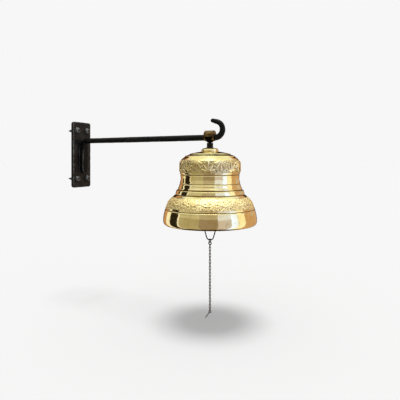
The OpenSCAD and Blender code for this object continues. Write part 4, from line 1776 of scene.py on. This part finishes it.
def oval_wire(node: str, wire: float, across: bool, gap: float) -> Lattice:
    """An oval link bent from wire, with its two ends butted in the middle of one side.

    Args:
        node: The CAD node that the link fills.
        wire: Radius of the wire.
        across: Whether the link stands in the YZ plane instead of the XZ plane.
        gap: Gap left at the butt.

    Returns:
        The link's skin.
    """
    low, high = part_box(node)
    half = max(high.x - low.x, high.y - low.y) / 2 - wire
    leg = (high.z - low.z) - 2 * wire - 2 * half
    middle_x, middle_z = (low.x + high.x) / 2, (low.z + high.z) / 2
    pen = PlanePath(middle_x + half, middle_z + gap / 2, 90.0, step=0.6 * MM, arc_step=15.0)
    pen.straight(leg / 2 - gap / 2).arc(half, 180.0).straight(leg).arc(half, 180.0)
    pen.straight(leg / 2 - gap / 2)
    path = pen.points()
    side = Y_AXIS
    if across:
        path = turned_about_z(path, middle_x)
        side = X_AXIS
    path = with_dome_rows(path, wire * 0.5, 4)
    return sweep(path, round_ends(path, np.full((len(path), 2), wire), (True, True)), 12, side=side)


@dataclass
class Pull:
    """The chain pull: a bow of wire on the ball, two rings, the chain and its end hook."""

    datum: Datum
    finishes: Finishes
    link_count: int
    wire: float = 0.9 * MM
    straight: float = 9 * MM
    bend_r: float = 1.6 * MM
    bow_r: float = 6.5 * MM
    pivot_tip: float = 7 * MM
    ring_wires: tuple[float, float] = (0.7 * MM, 0.65 * MM)
    link_wire: float = 0.55 * MM
    end_wire: float = 0.6 * MM
    links_per_run: int = 3

    def build(self) -> None:
        """Builds and dresses every piece of the pull."""
        self.bail()
        for name, body, wire, side in (
            ("pull_ring_upper", "ring_upper", self.ring_wires[0], X_AXIS),
            ("pull_ring_lower", "ring_lower", self.ring_wires[1], Y_AXIS),
        ):
            self.ring(name, body, wire, side)
        for number in range(1, self.link_count + 1):
            self.link(f"chain_link_{number:02d}", number)
        self.end_hook()

    def bail(self) -> None:
        """The bow of wire whose ends turn in the ball."""
        low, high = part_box("pull_bail")
        half = (high.x - low.x) / 2 - self.wire
        ball_z = self.datum.pivots["bail_swing"][2]
        bow_z = low.z + self.wire + self.bow_r
        bend_x, bend_z = half - self.bend_r, ball_z - self.straight
        down = bend_z - bow_z
        lean = math.degrees(
            math.atan2(bend_x, down) - math.asin((self.bow_r - self.bend_r) / math.hypot(bend_x, down))
        )
        leg = math.sqrt(bend_x**2 + down**2 - (self.bow_r - self.bend_r) ** 2)
        pen = PlanePath(-self.pivot_tip, ball_z, 180.0, step=1.2 * MM, arc_step=9.0)
        pen.straight(half - self.bend_r - self.pivot_tip).arc(self.bend_r, 90.0)
        pen.straight(self.straight - self.bend_r).arc(self.bend_r, lean).straight(leg)
        pen.arc(self.bow_r, 180.0 - 2 * lean).straight(leg).arc(self.bend_r, lean)
        pen.straight(self.straight - self.bend_r).arc(self.bend_r, 90.0)
        pen.straight(half - self.bend_r - self.pivot_tip)
        path = pen.points() + np.array(self.datum.axis_foot)
        sizes = np.full((len(path), 2), self.wire)
        skin = sweep(path, sizes, 14)
        piece = build_object("pull_bow_wire", [skin], self.finishes.wire)
        fit_out(piece, "bail", Slot.BLACK_WIRE, "pull_bail")

    def ring(self, node: str, body: str, wire: float, side: np.ndarray) -> None:
        """One of the two rings that join the bow to the chain."""
        low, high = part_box(node)
        radius = (high.z - low.z) / 2 - wire
        skin = wire_ring((self.datum.bell_x, 0.0, (low.z + high.z) / 2), radius, wire, side)
        piece = build_object(f"{node}_brass", [skin], self.finishes.chain)
        fit_out(piece, body, Slot.CHAIN_BRASS, node)

    def link(self, node: str, number: int) -> None:
        """One link of the chain, standing across or along the arm by turns."""
        skin = oval_wire(node, self.link_wire, across=number % 2 == 1, gap=0.12 * MM)
        piece = build_object(f"{node}_wire", [skin], self.finishes.chain)
        run = (number - 1) // self.links_per_run + 1
        fit_out(piece, f"chain_run_{run}", Slot.CHAIN_BRASS, node)

    def end_hook(self) -> None:
        """The end hook: an eye from which a wire tail runs down and aside."""
        low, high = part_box("chain_end_hook")
        radius = (high.x - self.datum.bell_x) - self.end_wire
        centre = (self.datum.bell_x, 0.0, high.z - self.end_wire - radius)
        ring = wire_ring(centre, radius, self.end_wire, Y_AXIS)
        start = np.array(centre) + radius * np.array([-1.0, 0.0, -1.0]) / math.sqrt(2.0)
        tip = np.array([low.x + self.end_wire, 0.0, low.z + self.end_wire])
        sag = np.array([0.5, 0.0, -0.5]) * MM
        t = np.linspace(0, 1, 16)[:, None]
        bow = start * (1 - t) + tip * t + sag * np.sin(math.pi * t) * 0.35
        path = with_dome_rows(bow, self.end_wire, 5)
        sizes = round_ends(path, np.full((len(path), 2), self.end_wire), (True, True))
        tail = sweep(path, sizes, 12)
        piece = build_object("chain_end_hook_wire", [ring, tail], self.finishes.chain)
        fit_out(piece, "end_hook", Slot.CHAIN_BRASS, "chain_end_hook")


# ---------------------------------------------------------------------------
# Floor, light and camera
# ---------------------------------------------------------------------------


@dataclass(frozen=True)
class Card:
    """A glowing card that only shows in reflections.

    Attributes:
        name: Name of the card.
        start: Where it starts, in degrees from straight behind the camera, to the right.
        end: Where it ends.
        low: Height of its lower edge.
        high: Height of its upper edge.
        colour: Colour of its glow.
        strength: Strength of its glow.
        reach: Distance from the bell's axis.
    """

    name: str
    start: float
    end: float
    low: float
    high: float
    colour: Colour
    strength: float
    reach: float = 1.25


@dataclass
class Studio:
    """A pale floor and surroundings, soft light, reflection cards and the camera."""

    datum: Datum
    look: float = 26.9
    distance: float = 0.6734
    aside: float = -0.016
    eye_z: float = -0.0109
    lens: float = 37.7
    sensor: float = 36.0
    shift_y: float = -0.0987
    floor_drop: float = 2.5 * MM
    pale: float = 0.93
    sun: float = 2.2
    sun_angle: float = 25.0
    cards: Sequence[Card] = (
        Card("outline_left", -180, -153, -2.5, 2.6, (0.16, 0.09, 0.04), 0.35),
        Card("far_left", -153, -130, -2.5, 0.9, (1.0, 0.56, 0.28), 0.60),
        Card("pale_left", -130, -112, -2.5, 0.9, (0.98, 1.0, 0.96), 1.05),
        Card("dark_left", -112, -84, -2.5, 0.7, (0.12, 0.09, 0.05), 0.20),
        Card("bright_edge_left", -84, -80, -2.5, 0.8, (1.0, 1.0, 1.0), 1.1),
        Card("olive_left", -80, -27, -2.5, 0.2, (1.0, 0.93, 0.66), 0.47),
        Card("olive_left_high", -80, -27, 0.2, 0.8, (1.0, 0.97, 0.78), 0.62),
        Card("brown_middle", -27, 17, -2.5, 0.2, (1.0, 0.80, 0.62), 0.34),
        Card("brown_middle_high", -27, 17, 0.2, 0.8, (1.0, 0.92, 0.78), 0.50),
        Card("rose_right", 17, 50, -2.5, 0.15, (0.86, 0.82, 1.0), 0.75),
        Card("rose_right_high", 17, 50, 0.15, 0.8, (0.62, 0.70, 1.0), 1.35),
        Card("window_right", 50, 68, -2.5, 0.8, (0.42, 0.54, 1.0), 2.50),
        Card("cream_right", 70, 90, -2.5, 0.8, (1.0, 1.0, 0.92), 1.20),
        Card("far_right", 90, 153, -2.5, 0.9, (1.0, 0.66, 0.42), 0.66),
        Card("grey_right", 118, 136, -0.02, 0.32, (1.0, 0.90, 0.80), 0.62, 1.20),
        Card("key_right", 86, 103, 0.95, 2.0, (1.0, 1.0, 1.0), 5.0, 1.20),
        Card("outline_right", 153, 180, -2.5, 2.6, (0.16, 0.09, 0.04), 0.35),
        Card("high_right", 108, 153, 1.5, 3.2, (0.22, 0.13, 0.06), 0.40),
        Card("high_left", -153, -120, 1.6, 3.2, (0.30, 0.20, 0.10), 0.50),
    )

    @property
    def ahead(self) -> np.ndarray:
        """Unit vector that the camera looks along."""
        a = math.radians(self.look)
        return np.array([-math.sin(a), math.cos(a), 0.0])

    @property
    def right(self) -> np.ndarray:
        """Unit vector to the camera's right."""
        a = math.radians(self.look)
        return np.array([math.cos(a), math.sin(a), 0.0])

    def build(self) -> None:
        """Sets everything that isn't the object."""
        self.surroundings()
        self.floor()
        self.lamps()
        for card in self.cards:
            self.stand(card)
        self.ceiling()
        self.camera()

    def surroundings(self) -> None:
        """An even pale surrounding, and colours shown as they are."""
        world = bpy.data.worlds.new("pale_room")
        bpy.context.scene.world = world
        world.use_nodes = True
        nodes = world.node_tree.nodes
        nodes["Background"].inputs["Color"].default_value = (self.pale, self.pale, self.pale, 1.0)
        nodes["Background"].inputs["Strength"].default_value = 1.0
        bpy.context.scene.view_settings.view_transform = "Standard"

    def floor(self) -> None:
        """The plain pale floor under the bell."""
        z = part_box("chain_end_hook")[0].z - self.floor_drop
        material = bpy.data.materials.new("floor_pale")
        material.use_nodes = True
        shader = material.node_tree.nodes["Principled BSDF"]
        albedo = self.pale / (self.pale + self.sun / math.pi)
        shader.inputs["Base Color"].default_value = (albedo, albedo, albedo, 1.0)
        shader.inputs["Roughness"].default_value = 1.0
        shader.inputs["Specular IOR Level"].default_value = 0.0
        reach = 60.0
        verts = np.array([[a * reach, b * reach, z] for a, b in SQUARE])
        floor = mesh_object("floor", verts, [(0, 1, 2, 3)], material, {})
        floor.visible_glossy = False

    def lamps(self) -> None:
        """One broad soft light from straight above, which draws the shadow on the floor."""
        data = bpy.data.lights.new("soft_sky", "SUN")
        data.energy = self.sun
        data.angle = math.radians(self.sun_angle)
        lamp = bpy.data.objects.new("soft_sky", data)
        bpy.context.scene.collection.objects.link(lamp)

    def spot(self, degrees: float, reach: float, height: float) -> np.ndarray:
        """A place round the bell, counted from straight behind the camera, to the right."""
        a = math.radians(degrees)
        flat = -math.cos(a) * self.ahead + math.sin(a) * self.right
        return np.array(self.datum.axis_foot) + flat * reach + height * Z_AXIS

    def stand(self, card: Card) -> None:
        """Stands one curved card up round the bell."""
        steps = max(2, round((card.end - card.start) / 6.0))
        turns = np.linspace(card.start, card.end, steps + 1)
        verts = [self.spot(t, card.reach, z) for z in (card.low, card.high) for t in turns]
        faces = [(i, i + 1, i + steps + 2, i + steps + 1) for i in range(steps)]
        self.glow(f"card_{card.name}", np.array(verts), faces, card.colour, card.strength)

    def ceiling(self) -> None:
        """A pale card overhead and a dark one below, which the crown, flare and lip reflect."""
        for name, z, half, colour, strength in (
            ("card_overhead", 1.0, 0.95, (0.92, 1.0, 0.88), 1.12),
            ("card_below", -1.6, 1.1, (0.16, 0.09, 0.04), 0.4),
        ):
            verts = [[self.datum.bell_x + a * half, b * half, z] for a, b in SQUARE]
            self.glow(name, np.array(verts), [(0, 1, 2, 3)], colour, strength)

    def glow(
        self, name: str, verts: np.ndarray, faces: list[tuple[int, ...]], colour: Colour, strength: float
    ) -> None:
        """Makes a card that is seen by reflections only."""
        material = bpy.data.materials.new(name)
        material.use_nodes = True
        nodes = material.node_tree.nodes
        nodes.clear()
        output = nodes.new("ShaderNodeOutputMaterial")
        emission = nodes.new("ShaderNodeEmission")
        emission.inputs["Color"].default_value = (*colour, 1.0)
        emission.inputs["Strength"].default_value = strength
        material.node_tree.links.new(emission.outputs["Emission"], output.inputs["Surface"])
        card = mesh_object(name, verts, faces, material, {})
        for sight in ("camera", "diffuse", "transmission", "volume_scatter", "shadow"):
            setattr(card, f"visible_{sight}", False)

    def camera(self) -> None:
        """A level camera in front of the bell, turned a little towards the wall."""
        data = bpy.data.cameras.new("camera")
        data.lens = self.lens
        data.sensor_width = self.sensor
        data.shift_y = self.shift_y
        data.clip_start = 0.01
        camera = bpy.data.objects.new("camera", data)
        place = np.array([self.datum.bell_x, 0.0, self.eye_z])
        place = place - self.distance * self.ahead + self.aside * self.right
        camera.location = Vector(place)
        camera.rotation_euler = Vector(self.ahead).to_track_quat("-Z", "Y").to_euler()
        bpy.context.scene.collection.objects.link(camera)
        bpy.context.scene.camera = camera


def main() -> None:
    """Builds the bell round its frame, piece by piece, then sets the studio."""
    logging.basicConfig(level=logging.INFO, format="%(name)s: %(message)s")
    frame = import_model()
    datum = Datum.of(frame)
    finishes = Finishes.mixed()
    links = sum(name.startswith("chain_link_") for name in frame["nodes"])
    for assembly in (
        Studio(datum),
        Bracket(datum, finishes),
        Hanger(datum, finishes),
        Bell(datum, finishes),
        Clapper(datum, finishes),
        Pull(datum, finishes, links),
    ):
        assembly.build()
        LOG.info("%s is built", type(assembly).__name__)


if __name__ == "__main__":
    main()
